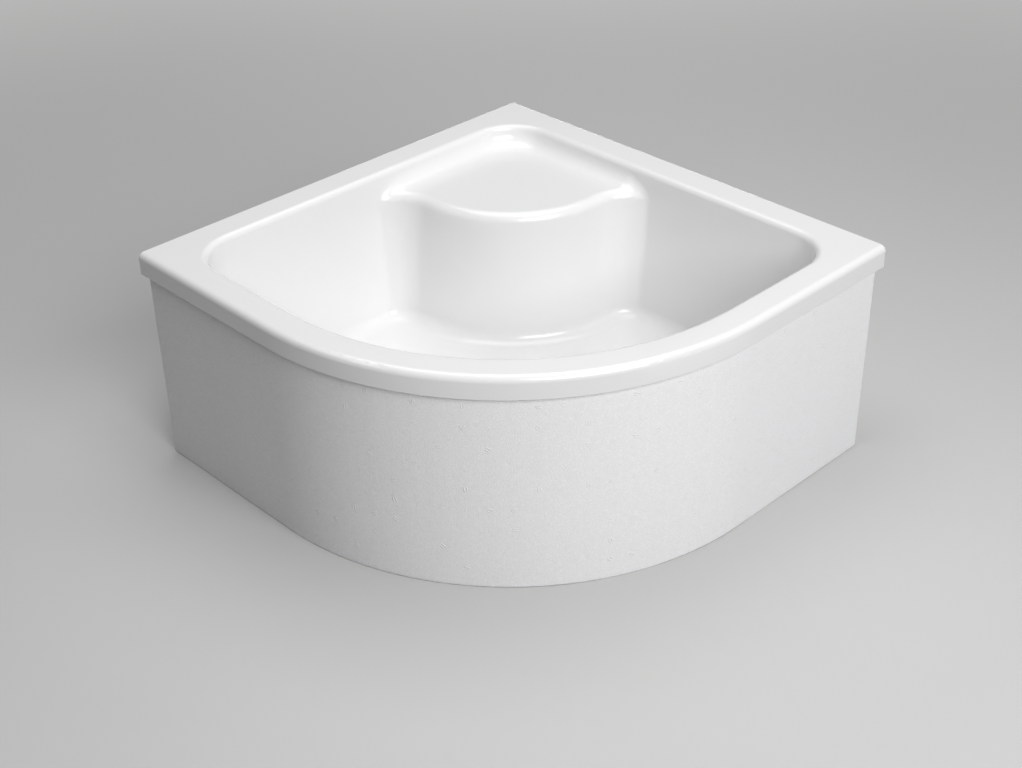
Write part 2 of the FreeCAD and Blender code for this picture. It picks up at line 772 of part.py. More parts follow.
def trap_cup():
    """Lift-out cup that holds the water seal."""
    body = new_body("trap_cup", ON_DRAIN)
    bore = mm.cup_radius - mm.cup_wall
    floor = BODY_FLOOR + mm.cup_floor
    turn(body, "CupProfile", [
        (ZERO, BODY_FLOOR), (mm.cup_radius, BODY_FLOOR), (mm.cup_radius, mm.cup_rim), (bore, mm.cup_rim),
        (bore, floor), (ZERO, floor)])


def dip_tube():
    """Funnel and tube that hang from the flange ledge into the cup, with a seal under the collar."""
    body = new_body("dip_tube", ON_DRAIN)
    skirt_end = LEDGE_TOP - mm.skirt_depth
    funnel_end = skirt_end - mm.funnel_depth
    skirt_bore = mm.skirt_radius - mm.tube_wall
    tube_bore = mm.tube_radius - mm.tube_wall
    turn(body, "TubeProfile", [
        (tube_bore, mm.tube_end), (mm.tube_radius, mm.tube_end), (mm.tube_radius, funnel_end),
        (mm.skirt_radius, skirt_end), (mm.skirt_radius, COLLAR_UNDER), (mm.collar_radius, COLLAR_UNDER),
        (mm.collar_radius, COLLAR_TOP), (skirt_bore, COLLAR_TOP), (skirt_bore, skirt_end),
        (tube_bore, funnel_end)])
    ring("dip_tube_seal", mm.skirt_radius + mm.collar_seal_gap, mm.collar_radius - mm.collar_seal_gap,
         LEDGE_TOP, COLLAR_UNDER)


def hair_strainer():
    """Slotted plate on the collar, with a locating ring below and a hub for lifting it."""
    body = new_body("hair_strainer", ON_DRAIN)
    locate_radius = mm.skirt_radius - mm.tube_wall - mm.strainer_ring_gap
    locate_bore = locate_radius - mm.strainer_plate
    low = COLLAR_TOP - mm.strainer_ring
    turn(body, "StrainerProfile", [
        (ZERO, COLLAR_TOP), (locate_bore, COLLAR_TOP), (locate_bore, low), (locate_radius, low),
        (locate_radius, COLLAR_TOP), (mm.strainer_radius, COLLAR_TOP), (mm.strainer_radius, STRAINER_TOP),
        (mm.strainer_hub_radius, STRAINER_TOP), (mm.strainer_hub_radius, HUB_TOP), (ZERO, HUB_TOP)])
    slot = new_sketch(body, "StrainerSlot", lift=STRAINER_TOP)
    draw_box(slot, mm.slot_start, mm.slot_end, -mm.slot_width / 2, mm.slot_width / 2)
    first = pocket(body, slot, mm.strainer_plate, down=True)
    repeat_round(body, first, slot, SLOT_COUNT)


def drain_cover():
    """Round cap over the drain: it stands on feet, so water runs in under its edge."""
    body = new_body("drain_cover", ON_DRAIN)
    low = FLANGE_TOP + mm.cover_lift
    shell_top = low + mm.cover_crown
    inside = mm.cover_radius - mm.cover_bevel
    roof = shell_top - mm.cover_plate
    turn(body, "CoverProfile", [
        (ZERO, HUB_TOP), (mm.cover_stem_radius, HUB_TOP), (mm.cover_stem_radius, roof), (inside, roof),
        (inside, low), (mm.cover_radius, low), (mm.cover_radius, shell_top - mm.cover_bevel),
        (mm.cover_radius - mm.cover_bevel, shell_top), (ZERO, shell_top)])
    foot = new_sketch(body, "CoverFoot", lift=FLANGE_TOP)
    draw_circle(foot, mm.cover_foot_circle, ZERO, mm.cover_foot_radius)
    first = pad(body, foot, roof - FLANGE_TOP + mm.cover_plate / 2)
    repeat_round(body, first, foot, FOOT_COUNT)


def outlet():
    """Waste pipe with a stop collar, held in the trap's socket by a union nut over a sealing ring."""
    pipe = new_body("outlet_pipe", ON_DRAIN)
    wall = new_sketch(pipe, "PipeSection", "XZ_Plane", lift=-mm.socket_shoulder)
    draw_circle(wall, ZERO, OUTLET_HEIGHT, mm.pipe_radius)
    draw_circle(wall, ZERO, OUTLET_HEIGHT, mm.pipe_radius - mm.pipe_wall)
    pad(pipe, wall, mm.pipe_length, back=True)
    stop = new_sketch(pipe, "PipeStop", "XZ_Plane", lift=-(SEAL_END + mm.nut_end + mm.pipe_stop_gap))
    draw_circle(stop, ZERO, OUTLET_HEIGHT, mm.pipe_radius + mm.pipe_stop_height)
    draw_circle(stop, ZERO, OUTLET_HEIGHT, mm.pipe_radius - mm.pipe_wall)
    pad(pipe, stop, mm.pipe_stop, back=True)

    seal = new_body("outlet_seal", ON_DRAIN)
    section = new_sketch(seal, "OutletSealSection", "XZ_Plane", lift=-mm.socket_end)
    draw_circle(section, ZERO, OUTLET_HEIGHT, SOCKET_RADIUS)
    draw_circle(section, ZERO, OUTLET_HEIGHT, mm.pipe_radius)
    pad(seal, section, mm.seal_length, back=True)

    nut = new_body("outlet_nut", ON_DRAIN)
    grip = NUT_BORE + mm.nut_wall
    start = SEAL_END - mm.nut_cover - mm.seal_length
    sleeve = new_sketch(nut, "NutSleeve", "XZ_Plane", lift=-start)
    draw_circle(sleeve, ZERO, OUTLET_HEIGHT, grip)
    draw_circle(sleeve, ZERO, OUTLET_HEIGHT, NUT_BORE)
    pad(nut, sleeve, SEAL_END - start, back=True)
    cap = new_sketch(nut, "NutEnd", "XZ_Plane", lift=-SEAL_END)
    draw_circle(cap, ZERO, OUTLET_HEIGHT, grip)
    draw_circle(cap, ZERO, OUTLET_HEIGHT, SOCKET_BORE)
    pad(nut, cap, mm.nut_end, back=True)
    lug = new_sketch(nut, "NutLug", "XZ_Plane", lift=-start, up=OUTLET_HEIGHT)
    draw_circle(lug, grip, ZERO, mm.nut_lug_radius)
    first = pad(nut, lug, SEAL_END + mm.nut_end - start, back=True)
    repeat_round(nut, first, lug, NUT_LUG_COUNT)


tray_shell()
floor_board()
carrier_ring()
carrier_base()
carrier_seat_block()
bonding()
waste_flange()
gaskets()
flange_screws()
trap_body()
trap_cup()
dip_tube()
hair_strainer()
drain_cover()
outlet()

failed = [thing.Name for thing in doc.Objects if {"Invalid", "Error"} & set(thing.State)]
failed += [body.Label for body in parts if body.Shape.isNull() or not body.Shape.isValid()]
if failed:
    raise RuntimeError(f"these came out wrong: {failed}")

os.makedirs("parts", exist_ok=True)
for body in parts:
    body.Shape.exportStep(f"parts/{body.Label}.step")
    print(body.Label, len(body.Shape.Solids), round(body.Shape.Volume))
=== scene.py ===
"""Quadrant shower tray: glossy acrylic on a bead-foam carrier, with its drain, trap and waste pipe."""

import math
import random

import bmesh
import bpy
from mathutils import Matrix, Vector, kdtree, noise


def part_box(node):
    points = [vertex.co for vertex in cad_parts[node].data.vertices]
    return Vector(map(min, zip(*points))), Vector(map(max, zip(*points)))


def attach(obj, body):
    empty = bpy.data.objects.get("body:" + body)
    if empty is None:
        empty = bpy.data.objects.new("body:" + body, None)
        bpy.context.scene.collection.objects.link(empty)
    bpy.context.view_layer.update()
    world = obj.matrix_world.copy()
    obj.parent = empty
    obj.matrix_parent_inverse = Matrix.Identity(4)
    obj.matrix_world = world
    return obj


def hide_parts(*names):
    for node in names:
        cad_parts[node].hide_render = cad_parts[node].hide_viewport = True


bl_info = {
    "name": "Quadrant Shower Tray",
    "version": (1, 0, 0),
    "blender": (4, 5, 0),
    "location": "View3D > Sidebar > Tray",
    "description": "Finishes a quadrant shower tray with its foam carrier, drain and trap",
    "category": "Object",
}

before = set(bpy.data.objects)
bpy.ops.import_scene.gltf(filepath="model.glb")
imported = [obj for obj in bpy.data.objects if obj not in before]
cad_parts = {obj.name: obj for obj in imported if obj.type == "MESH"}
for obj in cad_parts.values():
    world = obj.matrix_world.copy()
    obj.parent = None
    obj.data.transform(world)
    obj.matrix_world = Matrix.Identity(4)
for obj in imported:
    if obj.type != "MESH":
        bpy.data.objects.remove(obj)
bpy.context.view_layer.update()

MM = 0.001
# Points closer than this become one where a mesh is merged
WELD = 0.01 * MM
# An edge whose faces turn by more than this, in radians, is a corner and not a step of a curve
CORNER = 1.0
# Share of a normal along an axis: below the first a face lies along the axis, above the second it faces it
UPRIGHT, FACING = 0.3, 0.7
# Colour sockets of a Mix node: its two inputs and its result
MIX_FIRST, MIX_SECOND, MIX_RESULT = 6, 7, 2
# UV map of the foam's outer face, laid out flat
UNROLLED = "unrolled"

# Places of the pieces in the frame
FOAM_LOW, FOAM_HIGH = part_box("carrier_ring")
FOAM_SIDE = FOAM_HIGH.x - FOAM_LOW.x
FOAM_HEIGHT = FOAM_HIGH.z - FOAM_LOW.z
COVER_LOW, COVER_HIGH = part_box("drain_cover")
DRAIN = (COVER_LOW + COVER_HIGH) / 2
FLANGE_LOW, FLANGE_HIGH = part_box("waste_flange")
FLANGE_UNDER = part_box("flange_gasket")[1].z
LEDGE_TOP, COLLAR_UNDER = (corner.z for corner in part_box("dip_tube_seal"))
TUBE_LOW, TUBE_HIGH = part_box("dip_tube")
STRAINER_LOW, STRAINER_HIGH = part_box("hair_strainer")
CUP_LOW, CUP_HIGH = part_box("trap_cup")
SCREW_LOW, SCREW_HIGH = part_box("flange_screws")


def half_width(low, high):
    """Radius of a turned piece from its box."""
    return (high.x - low.x) / 2


def linear(code):
    """The linear colour, with full alpha, of an sRGB hex code."""
    shares = [int(code[place:place + 2], 16) / 255 for place in (1, 3, 5)]
    return (*[s / 12.92 if s <= 0.04045 else ((s + 0.055) / 1.055) ** 2.4 for s in shares], 1.0)


def per_mm(size):
    """Texture scale at which one cell of a pattern measures this many millimetres."""
    return 1 / (size * MM)


def waves_per_mm(size):
    """Scale of a wave texture at which one wave measures this many millimetres."""
    radians_per_unit = 20
    return math.tau / radians_per_unit / (size * MM)


class TrayFoam(bpy.types.PropertyGroup):
    """Sizes of the foam carrier that shows under the rim"""

    front_radius: bpy.props.FloatProperty(
        name="Front radius", description="Radius of the rounded front of the foam",
        default=0.54, min=0.1, unit="LENGTH")
    wall: bpy.props.FloatProperty(
        name="Wall", description="Thickness of the foam wall", default=0.038, min=0.01, unit="LENGTH")
    inner_corner: bpy.props.FloatProperty(
        name="Inner corner", description="Radius of the foam wall's inner corners",
        default=0.097, min=0.01, unit="LENGTH")
    edge_round: bpy.props.FloatProperty(
        name="Edge round", description="Softness of the moulded foam's edges",
        default=0.0018, min=0.0005, unit="LENGTH")
    grain: bpy.props.FloatProperty(
        name="Grain", description="Spacing of the points that carry the foam's relief",
        default=0.0036, min=0.002, unit="LENGTH")
    dimples: bpy.props.IntProperty(
        name="Dimples", description="Number of bead dimples pressed into the foam's outer face",
        default=260, min=0)
    vent_spacing: bpy.props.FloatProperty(
        name="Vent spacing", description="Distance between the steam vent marks of the foam's mould",
        default=0.039, min=0.01, unit="LENGTH")


class TrayWaste(bpy.types.PropertyGroup):
    """Sizes of the drain and of the parts that lift out of it"""

    cover_radius: bpy.props.FloatProperty(
        name="Cover radius", description="Radius of the drain cover",
        default=half_width(COVER_LOW, COVER_HIGH), min=0.03, unit="LENGTH")
    cover_crown: bpy.props.FloatProperty(
        name="Cover crown", description="Rise of the drain cover's crown",
        default=0.002, min=0.0, unit="LENGTH")
    sleeve_radius: bpy.props.FloatProperty(
        name="Sleeve radius", description="Outer radius of the flange's sleeve",
        default=0.044, min=0.02, unit="LENGTH")
    sheet: bpy.props.FloatProperty(
        name="Sheet", description="Thickness of the sheet that flange and cover are pressed from",
        default=0.002, min=0.0005, unit="LENGTH")
    ledge_bore: bpy.props.FloatProperty(
        name="Ledge bore", description="Radius of the opening in the flange's ledge",
        default=0.031, min=0.01, unit="LENGTH")
    screw_circle: bpy.props.FloatProperty(
        name="Screw circle", description="Radius of the circle that the flange screws stand on",
        default=0.0378, min=0.01, unit="LENGTH")
    screw_radius: bpy.props.FloatProperty(
        name="Screw radius", description="Radius of the flange screws' shanks",
        default=0.002, min=0.001, unit="LENGTH")
    screws: bpy.props.IntProperty(name="Screws", description="Number of flange screws", default=3, min=1)
    slots: bpy.props.IntProperty(
        name="Slots", description="Number of slots in the hair strainer", default=12, min=3)
    wall: bpy.props.FloatProperty(
        name="Moulded wall", description="Wall thickness of the cup and the dip tube",
        default=0.0018, min=0.0005, unit="LENGTH")
    tube_radius: bpy.props.FloatProperty(
        name="Tube radius", description="Outer radius of the dip tube",
        default=0.015, min=0.005, unit="LENGTH")
    skirt_radius: bpy.props.FloatProperty(
        name="Skirt radius", description="Outer radius of the dip tube's skirt",
        default=0.0292, min=0.01, unit="LENGTH")


class TrayColours(bpy.types.PropertyGroup):
    """Colours of the tray's finishes"""

    acrylic: bpy.props.FloatVectorProperty(
        name="Acrylic", description="Colour of the sanitary acrylic", subtype="COLOR", size=4,
        default=linear("#ECECEC"), min=0, max=1)
    foam: bpy.props.FloatVectorProperty(
        name="Foam", description="Colour of the bead foam", subtype="COLOR", size=4,
        default=linear("#F8F8F9"), min=0, max=1)
    trap: bpy.props.FloatVectorProperty(
        name="Trap", description="Colour of the moulded trap parts", subtype="COLOR", size=4,
        default=linear("#DEDFDD"), min=0, max=1)
    pipe: bpy.props.FloatVectorProperty(
        name="Waste pipe", description="Colour of the waste pipe", subtype="COLOR", size=4,
        default=linear("#8D9194"), min=0, max=1)


class TrayStage(bpy.types.PropertyGroup):
    """Floor and light around the tray"""

    floor_colour: bpy.props.FloatVectorProperty(
        name="Floor", description="Colour of the plain floor", subtype="COLOR", size=4,
        default=linear("#CACAC9"), min=0, max=1)
    backdrop_colour: bpy.props.FloatVectorProperty(
        name="Backdrop", description="Colour that the floor runs into behind the tray",
        subtype="COLOR", size=4, default=linear("#BEBEBD"), min=0, max=1)
    floor_bounce: bpy.props.FloatProperty(
        name="Floor bounce", description="Share of the floor's brightness that it throws back at the tray",
        default=0.55, min=0, max=1, subtype="FACTOR")
    key_power: bpy.props.FloatProperty(
        name="Key", description="Power of the large soft lamp on the right",
        default=127, min=0, unit="POWER")
    top_power: bpy.props.FloatProperty(
        name="Top", description="Power of the soft lamp overhead", default=45, min=0, unit="POWER")
    back_power: bpy.props.FloatProperty(
        name="Back", description="Power of the low lamp behind the tray, under its rim",
        default=20, min=0, unit="POWER")
    fill: bpy.props.FloatProperty(
        name="Fill", description="Strength of the even light from all round", default=0.11, min=0)


def deselect():
    """Leaves every object deselected and in object mode."""
    if bpy.context.object and bpy.context.object.mode != "OBJECT":
        bpy.ops.object.mode_set(mode="OBJECT")
    bpy.ops.object.select_all(action="DESELECT")


def take(piece):
    """Makes this piece the only selected and active one."""
    deselect()
    piece.select_set(True)
    bpy.context.view_layer.objects.active = piece
    return piece


def edit(piece):
    """Opens this piece alone in edit mode."""
    take(piece)
    bpy.ops.object.mode_set(mode="EDIT")


def done():
    """Back to object mode."""
    bpy.ops.object.mode_set(mode="OBJECT")


def pick(piece, kind, wanted):
    """In edit mode, selects only the vertices, edges or faces that are wanted."""
    bpy.ops.mesh.select_mode(type=kind)
    bpy.ops.mesh.select_all(action="DESELECT")
    form = bmesh.from_edit_mesh(piece.data)
    form.normal_update()
    items = {"VERT": form.verts, "EDGE": form.edges, "FACE": form.faces}[kind]
    found = [item for item in items if wanted(item)]
    if not found:
        raise RuntimeError(f"{piece.name}: nothing to select")
    for item in found:
        item.select_set(True)
    form.select_flush_mode()
    bmesh.update_edit_mesh(piece.data)


def modify(piece, kind, **settings):
    """Adds a modifier and applies it."""
    take(piece)
    modifier = piece.modifiers.new(kind.title(), kind)
    for name, value in settings.items():
        setattr(modifier, name, value)
    bpy.ops.object.modifier_apply(modifier=modifier.name)


def cut(piece, cutter):
    """Takes the cutter's volume out of the piece and removes the cutter."""
    modify(piece, "BOOLEAN", operation="DIFFERENCE", object=cutter, solver="EXACT")
    bpy.data.objects.remove(cutter)


def smooth(piece, angle):
    """Smooth shading up to this angle, in degrees, that leaves flat faces flat."""
    take(piece)
    bpy.ops.object.shade_smooth_by_angle(angle=math.radians(angle))
    modify(piece, "WEIGHTED_NORMAL", keep_sharp=True)


def dress(piece, body, slot, material, *nodes):
    """Rides a finished piece on its body, in place of the nodes it stands for, with its material."""
    piece.data.materials.clear()
    piece.data.materials.append(material)
    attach(piece, body)
    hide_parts(*nodes)


def dress_node(name, material):
    """Gives its material to a CAD node that stays as it is."""
    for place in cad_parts[name].material_slots:
        place.material = material


def merged_copy(name, original):
    """A new piece with the form of a CAD node, its loose triangles merged to one skin."""
    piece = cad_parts[original].copy()
    piece.data = piece.data.copy()
    piece.name = name
    piece.parent = None
    for key in list(piece.keys()):
        del piece[key]
    bpy.context.scene.collection.objects.link(piece)
    take(piece)
    bpy.ops.mesh.customdata_custom_splitnormals_clear()
    edit(piece)
    bpy.ops.mesh.select_all(action="SELECT")
    bpy.ops.mesh.remove_doubles(threshold=WELD)
    done()
    return piece


def turned(name, centre, profile, ease, steps=96):
    """A piece turned about an upright axis from a profile of radius and height, its corners eased."""
    deselect()
    radius, height = profile[0]
    bpy.ops.mesh.primitive_plane_add(size=MM, location=(centre.x + radius, centre.y, height))
    piece = bpy.context.object
    piece.name = name
    bpy.ops.object.transform_apply(location=True)
    edit(piece)
    bpy.ops.mesh.select_mode(type="VERT")
    bpy.ops.mesh.select_all(action="SELECT")
    bpy.ops.mesh.merge(type="CENTER")
    for (radius, height), (next_radius, next_height) in zip(profile, profile[1:]):
        step = (next_radius - radius, 0, next_height - height)
        bpy.ops.mesh.extrude_region_move(TRANSFORM_OT_translate={"value": step})
    if profile[0][0] > 0:
        pick(piece, "VERT", lambda v: len(v.link_edges) == 1)
        bpy.ops.mesh.edge_face_add()
    pick(piece, "VERT", lambda v: len(v.link_edges) == 2 and v.co.x > centre.x + ease)
    bpy.ops.mesh.bevel(offset=ease, segments=3, affect="VERTICES")
    bpy.ops.mesh.select_all(action="SELECT")
    bpy.ops.mesh.spin(steps=steps, angle=math.tau, center=(centre.x, centre.y, 0), axis=(0, 0, 1))
    bpy.ops.mesh.select_all(action="SELECT")
    bpy.ops.mesh.remove_doubles(threshold=WELD)
    bpy.ops.mesh.normals_make_consistent(inside=False)
    done()
    return piece


def block(name, centre, size, ease, segments=6):
    """A box with its upright edges eased, for slots and recesses."""
    deselect()
    bpy.ops.mesh.primitive_cube_add(size=1, location=centre)
    piece = bpy.context.object
    piece.name = name
    piece.scale = size
    bpy.ops.object.transform_apply(location=True, scale=True)
    edit(piece)
    pick(piece, "EDGE", lambda e: abs(e.verts[0].co.z - e.verts[1].co.z) > size[2] / 2)
    bpy.ops.mesh.bevel(offset=ease, segments=segments, affect="EDGES")
    done()
    return piece


def repeat_round(piece, count):
    """Even copies of a piece round the drain's axis, joined to it."""
    axis = Matrix.Translation((DRAIN.x, DRAIN.y, 0))
    copies = []
    for number in range(1, count):
        copy = piece.copy()
        copy.data = piece.data.copy()
        copy.data.transform(axis @ Matrix.Rotation(number * math.tau / count, 4, "Z") @ axis.inverted())
        bpy.context.scene.collection.objects.link(copy)
        copies.append(copy)
    join(piece, *copies)
    return piece


def join(piece, *others):
    """Makes the others part of this piece's mesh."""
    take(piece)
    for other in others:
        other.select_set(True)
    bpy.ops.object.join()


def darker(colour, share):
    """A colour at a share of its brightness."""
    return (*[channel * share for channel in colour[:3]], 1.0)


def wire(tree, target, inputs):
    """Sets the inputs of a node, each from a value or from the socket that feeds it."""
    for name, value in inputs.items():
        if isinstance(value, bpy.types.NodeSocket):
            tree.links.new(value, target.inputs[name])
        else:
            target.inputs[name].default_value = value


def node(tree, kind, inputs, **settings):
    """Adds a shader node with its settings and inputs."""
    made = tree.nodes.new(kind)
    for name, value in settings.items():
        setattr(made, name, value)
    wire(tree, made, inputs)
    return made


def new_material(name):
    """An empty material: its node tree, its surface shader and its Object coordinates."""
    material = bpy.data.materials.new(name)
    material.use_nodes = True
    tree = material.node_tree
    shader = tree.nodes["Principled BSDF"]
    place = node(tree, "ShaderNodeTexCoord", {}).outputs["Object"]
    return material, tree, shader, place


def sanitary_acrylic(colour):
    # Cast acrylic sheet, vacuum formed: a deep even gloss over white, with a slow ripple from the drawing.
    material, tree, shader, place = new_material("sanitary acrylic")
    cloud = node(tree, "ShaderNodeTexNoise", {"Vector": place, "Scale": per_mm(220), "Detail": 2.0})
    tone = node(tree, "ShaderNodeMix", {"Factor": cloud.outputs["Fac"], MIX_FIRST: colour,
                                        MIX_SECOND: darker(colour, 0.97)}, data_type="RGBA")
    film = node(tree, "ShaderNodeTexNoise", {"Vector": place, "Scale": per_mm(70), "Detail": 3.0})
    gloss = node(tree, "ShaderNodeMapRange", {"Value": film.outputs["Fac"], "To Min": 0.11, "To Max": 0.17})
    ripple = node(tree, "ShaderNodeTexNoise", {"Vector": place, "Scale": per_mm(38), "Detail": 1.0})
    bump = node(tree, "ShaderNodeBump", {"Height": ripple.outputs["Fac"], "Strength": 0.08,
                                         "Distance": 0.3 * MM})
    wire(tree, shader, {"Base Color": tone.outputs[MIX_RESULT], "Roughness": gloss.outputs["Result"],
                        "Normal": bump.outputs["Normal"], "IOR": 1.49})
    return material


def bead_foam(name, colour, vent_spacing=None):
    # Expanded polystyrene, steam moulded: matt white beads pressed flat against the mould, with thin seams,
    # faint streaks where it was drawn from the mould and, on the outer face, the marks of the mould's vents.
    material, tree, shader, place = new_material(name)
    bead_scale = per_mm(4.6)
    beads = node(tree, "ShaderNodeTexVoronoi", {"Vector": place, "Scale": bead_scale},
                 feature="DISTANCE_TO_EDGE")
    seams = node(tree, "ShaderNodeMapRange", {"Value": beads.outputs["Distance"], "From Max": 0.14})
    cells = node(tree, "ShaderNodeTexVoronoi", {"Vector": place, "Scale": bead_scale})
    shade = node(tree, "ShaderNodeSeparateColor", {"Color": cells.outputs["Color"]})
    stretch = node(tree, "ShaderNodeMapping", {"Vector": place, "Scale": (1.0, 1.0, 0.03)})
    streaks = node(tree, "ShaderNodeTexNoise", {"Vector": stretch.outputs["Vector"], "Scale": per_mm(12),
                                                "Detail": 2.0})
    drawn = node(tree, "ShaderNodeMix", {"Factor": streaks.outputs["Fac"], MIX_FIRST: colour,
                                         MIX_SECOND: darker(colour, 0.97)}, data_type="RGBA")
    tint = node(tree, "ShaderNodeMix", {"Factor": shade.outputs["Red"], MIX_FIRST: drawn.outputs[MIX_RESULT],
                                        MIX_SECOND: darker(colour, 0.95)}, data_type="RGBA")
    seamed = node(tree, "ShaderNodeMix", {"Factor": seams.outputs["Result"], MIX_FIRST: darker(colour, 0.91),
                                          MIX_SECOND: tint.outputs[MIX_RESULT]}, data_type="RGBA")
    rough = node(tree, "ShaderNodeMapRange", {"Value": shade.outputs["Green"], "To Min": 0.62,
                                              "To Max": 0.78})
    bump = node(tree, "ShaderNodeBump", {"Height": seams.outputs["Result"], "Strength": 0.3,
                                         "Distance": 0.4 * MM})
    if vent_spacing:
        bump = vent_marks(tree, vent_spacing, bump)
    wire(tree, shader, {"Base Color": seamed.outputs[MIX_RESULT], "Roughness": rough.outputs["Result"],
                        "Normal": bump.outputs["Normal"], "IOR": 1.35})
    return material


def vent_marks(tree, spacing, beads):
    # Steam vents of the foam's mould: round plugs with slits, each turned its own way and more or less worn,
    # that leave ridges over the beads. Real slits are about 2 mm apart, too fine to show, so they are drawn
    # 4.6 mm apart.
    unrolled = node(tree, "ShaderNodeUVMap", {}, uv_map=UNROLLED).outputs["UV"]
    grid = node(tree, "ShaderNodeTexVoronoi", {"Vector": unrolled, "Scale": 1 / spacing, "Randomness": 0.0},
                voronoi_dimensions="2D")
    # The grid measures in spacings
    edge = 5.4 * MM / spacing
    flat = edge * 0.7
    plug = node(tree, "ShaderNodeMapRange", {"Value": grid.outputs["Distance"], "From Min": edge,
                                             "From Max": flat}, interpolation_type="SMOOTHSTEP")
    chance = node(tree, "ShaderNodeSeparateColor", {"Color": grid.outputs["Color"]})
    wear = node(tree, "ShaderNodeMapRange", {"Value": chance.outputs["Red"], "From Min": 0.3})
    angle = node(tree, "ShaderNodeMath", {0: chance.outputs["Green"], 1: math.pi}, operation="MULTIPLY")
    own_way = node(tree, "ShaderNodeVectorRotate", {"Vector": unrolled, "Center": grid.outputs["Position"],
                                                    "Angle": angle.outputs["Value"]},
                   rotation_type="Z_AXIS")
    slits = node(tree, "ShaderNodeTexWave", {"Vector": own_way.outputs["Vector"],
                                             "Scale": waves_per_mm(4.6)})
    ridges = node(tree, "ShaderNodeMath", {0: plug.outputs["Result"], 1: slits.outputs["Fac"]},
                  operation="MULTIPLY")
    mark = node(tree, "ShaderNodeMath", {0: ridges.outputs["Value"], 1: wear.outputs["Result"]},
                operation="MULTIPLY")
    return node(tree, "ShaderNodeBump", {"Height": mark.outputs["Value"], "Strength": 0.7,
                                         "Distance": 0.9 * MM, "Normal": beads.outputs["Normal"]})


def chipboard():
    # Pressed wood chips: pale and dark flakes lying flat, dull and slightly open at the surface.
    material, tree, shader, place = new_material("chipboard")
    flat = node(tree, "ShaderNodeMapping", {"Vector": place, "Scale": (1.0, 0.55, 2.5)})
    flakes = node(tree, "ShaderNodeTexVoronoi", {"Vector": flat.outputs["Vector"], "Scale": per_mm(5)})
    chance = node(tree, "ShaderNodeSeparateColor", {"Color": flakes.outputs["Color"]})
    tone = node(tree, "ShaderNodeMix", {"Factor": chance.outputs["Red"], MIX_FIRST: linear("#C9A878"),
                                        MIX_SECOND: linear("#9A7446")}, data_type="RGBA")
    bump = node(tree, "ShaderNodeBump", {"Height": flakes.outputs["Distance"], "Strength": 0.4,
                                         "Distance": 0.4 * MM})
    rough = node(tree, "ShaderNodeMapRange", {"Value": chance.outputs["Green"], "To Min": 0.7,
                                              "To Max": 0.9})
    wire(tree, shader, {"Base Color": tone.outputs[MIX_RESULT], "Roughness": rough.outputs["Result"],
                        "Normal": bump.outputs["Normal"]})
    return material


def cured_adhesive():
    # Cured assembly adhesive: off-white, lumpy from the gun, with a soft satin skin.
    material, tree, shader, place = new_material("cured adhesive")
    lumps = node(tree, "ShaderNodeTexNoise", {"Vector": place, "Scale": per_mm(9), "Detail": 2.0})
    tone = node(tree, "ShaderNodeMix", {"Factor": lumps.outputs["Fac"], MIX_FIRST: linear("#DAD5C8"),
                                        MIX_SECOND: linear("#C6C0B1")}, data_type="RGBA")
    bump = node(tree, "ShaderNodeBump", {"Height": lumps.outputs["Fac"], "Strength": 0.6,
                                         "Distance": 1.2 * MM})
    rough = node(tree, "ShaderNodeMapRange", {"Value": lumps.outputs["Fac"], "To Min": 0.4, "To Max": 0.6})
    wire(tree, shader, {"Base Color": tone.outputs[MIX_RESULT], "Roughness": rough.outputs["Result"],
                        "Normal": bump.outputs["Normal"]})
    return material


def turned_stainless():
    # Stainless steel, pressed and turned: grey metal with rings round the drain's axis. Real turning marks
    # are a few tenths of a millimetre apart, too fine to show, so they are drawn 2.5 mm apart.
    material, tree, shader, place = new_material("turned stainless steel")
    centred = node(tree, "ShaderNodeMapping", {"Vector": place, "Location": (-DRAIN.x, -DRAIN.y, 0.0)})
    rings = node(tree, "ShaderNodeTexWave", {"Vector": centred.outputs["Vector"], "Distortion": 0.4,
                                             "Scale": waves_per_mm(2.5), "Detail": 1.0},
                 wave_type="RINGS", rings_direction="Z")
    rough = node(tree, "ShaderNodeMapRange", {"Value": rings.outputs["Fac"], "To Min": 0.24, "To Max": 0.36})
    bump = node(tree, "ShaderNodeBump", {"Height": rings.outputs["Fac"], "Strength": 0.05,
                                         "Distance": 0.1 * MM})
    tone = node(tree, "ShaderNodeMix", {"Factor": rings.outputs["Fac"], MIX_FIRST: linear("#BFC0C1"),
                                        MIX_SECOND: linear("#B1B3B4")}, data_type="RGBA")
    wire(tree, shader, {"Base Color": tone.outputs[MIX_RESULT], "Roughness": rough.outputs["Result"],
                        "Normal": bump.outputs["Normal"], "Metallic": 1.0})
    return material


def chrome_plate():
    # Bright chrome on a pressed cap: a mirror with the faintest wiping haze.
    material, tree, shader, place = new_material("chrome plate")
    haze = node(tree, "ShaderNodeTexNoise", {"Vector": place, "Scale": per_mm(14), "Detail": 4.0})
    rough = node(tree, "ShaderNodeMapRange", {"Value": haze.outputs["Fac"], "To Min": 0.05, "To Max": 0.14})
    tone = node(tree, "ShaderNodeMix", {"Factor": haze.outputs["Fac"], MIX_FIRST: linear("#E4E6E8"),
                                        MIX_SECOND: linear("#D6D9DC")}, data_type="RGBA")
    wire(tree, shader, {"Base Color": tone.outputs[MIX_RESULT], "Roughness": rough.outputs["Result"],
                        "Metallic": 1.0})
    return material


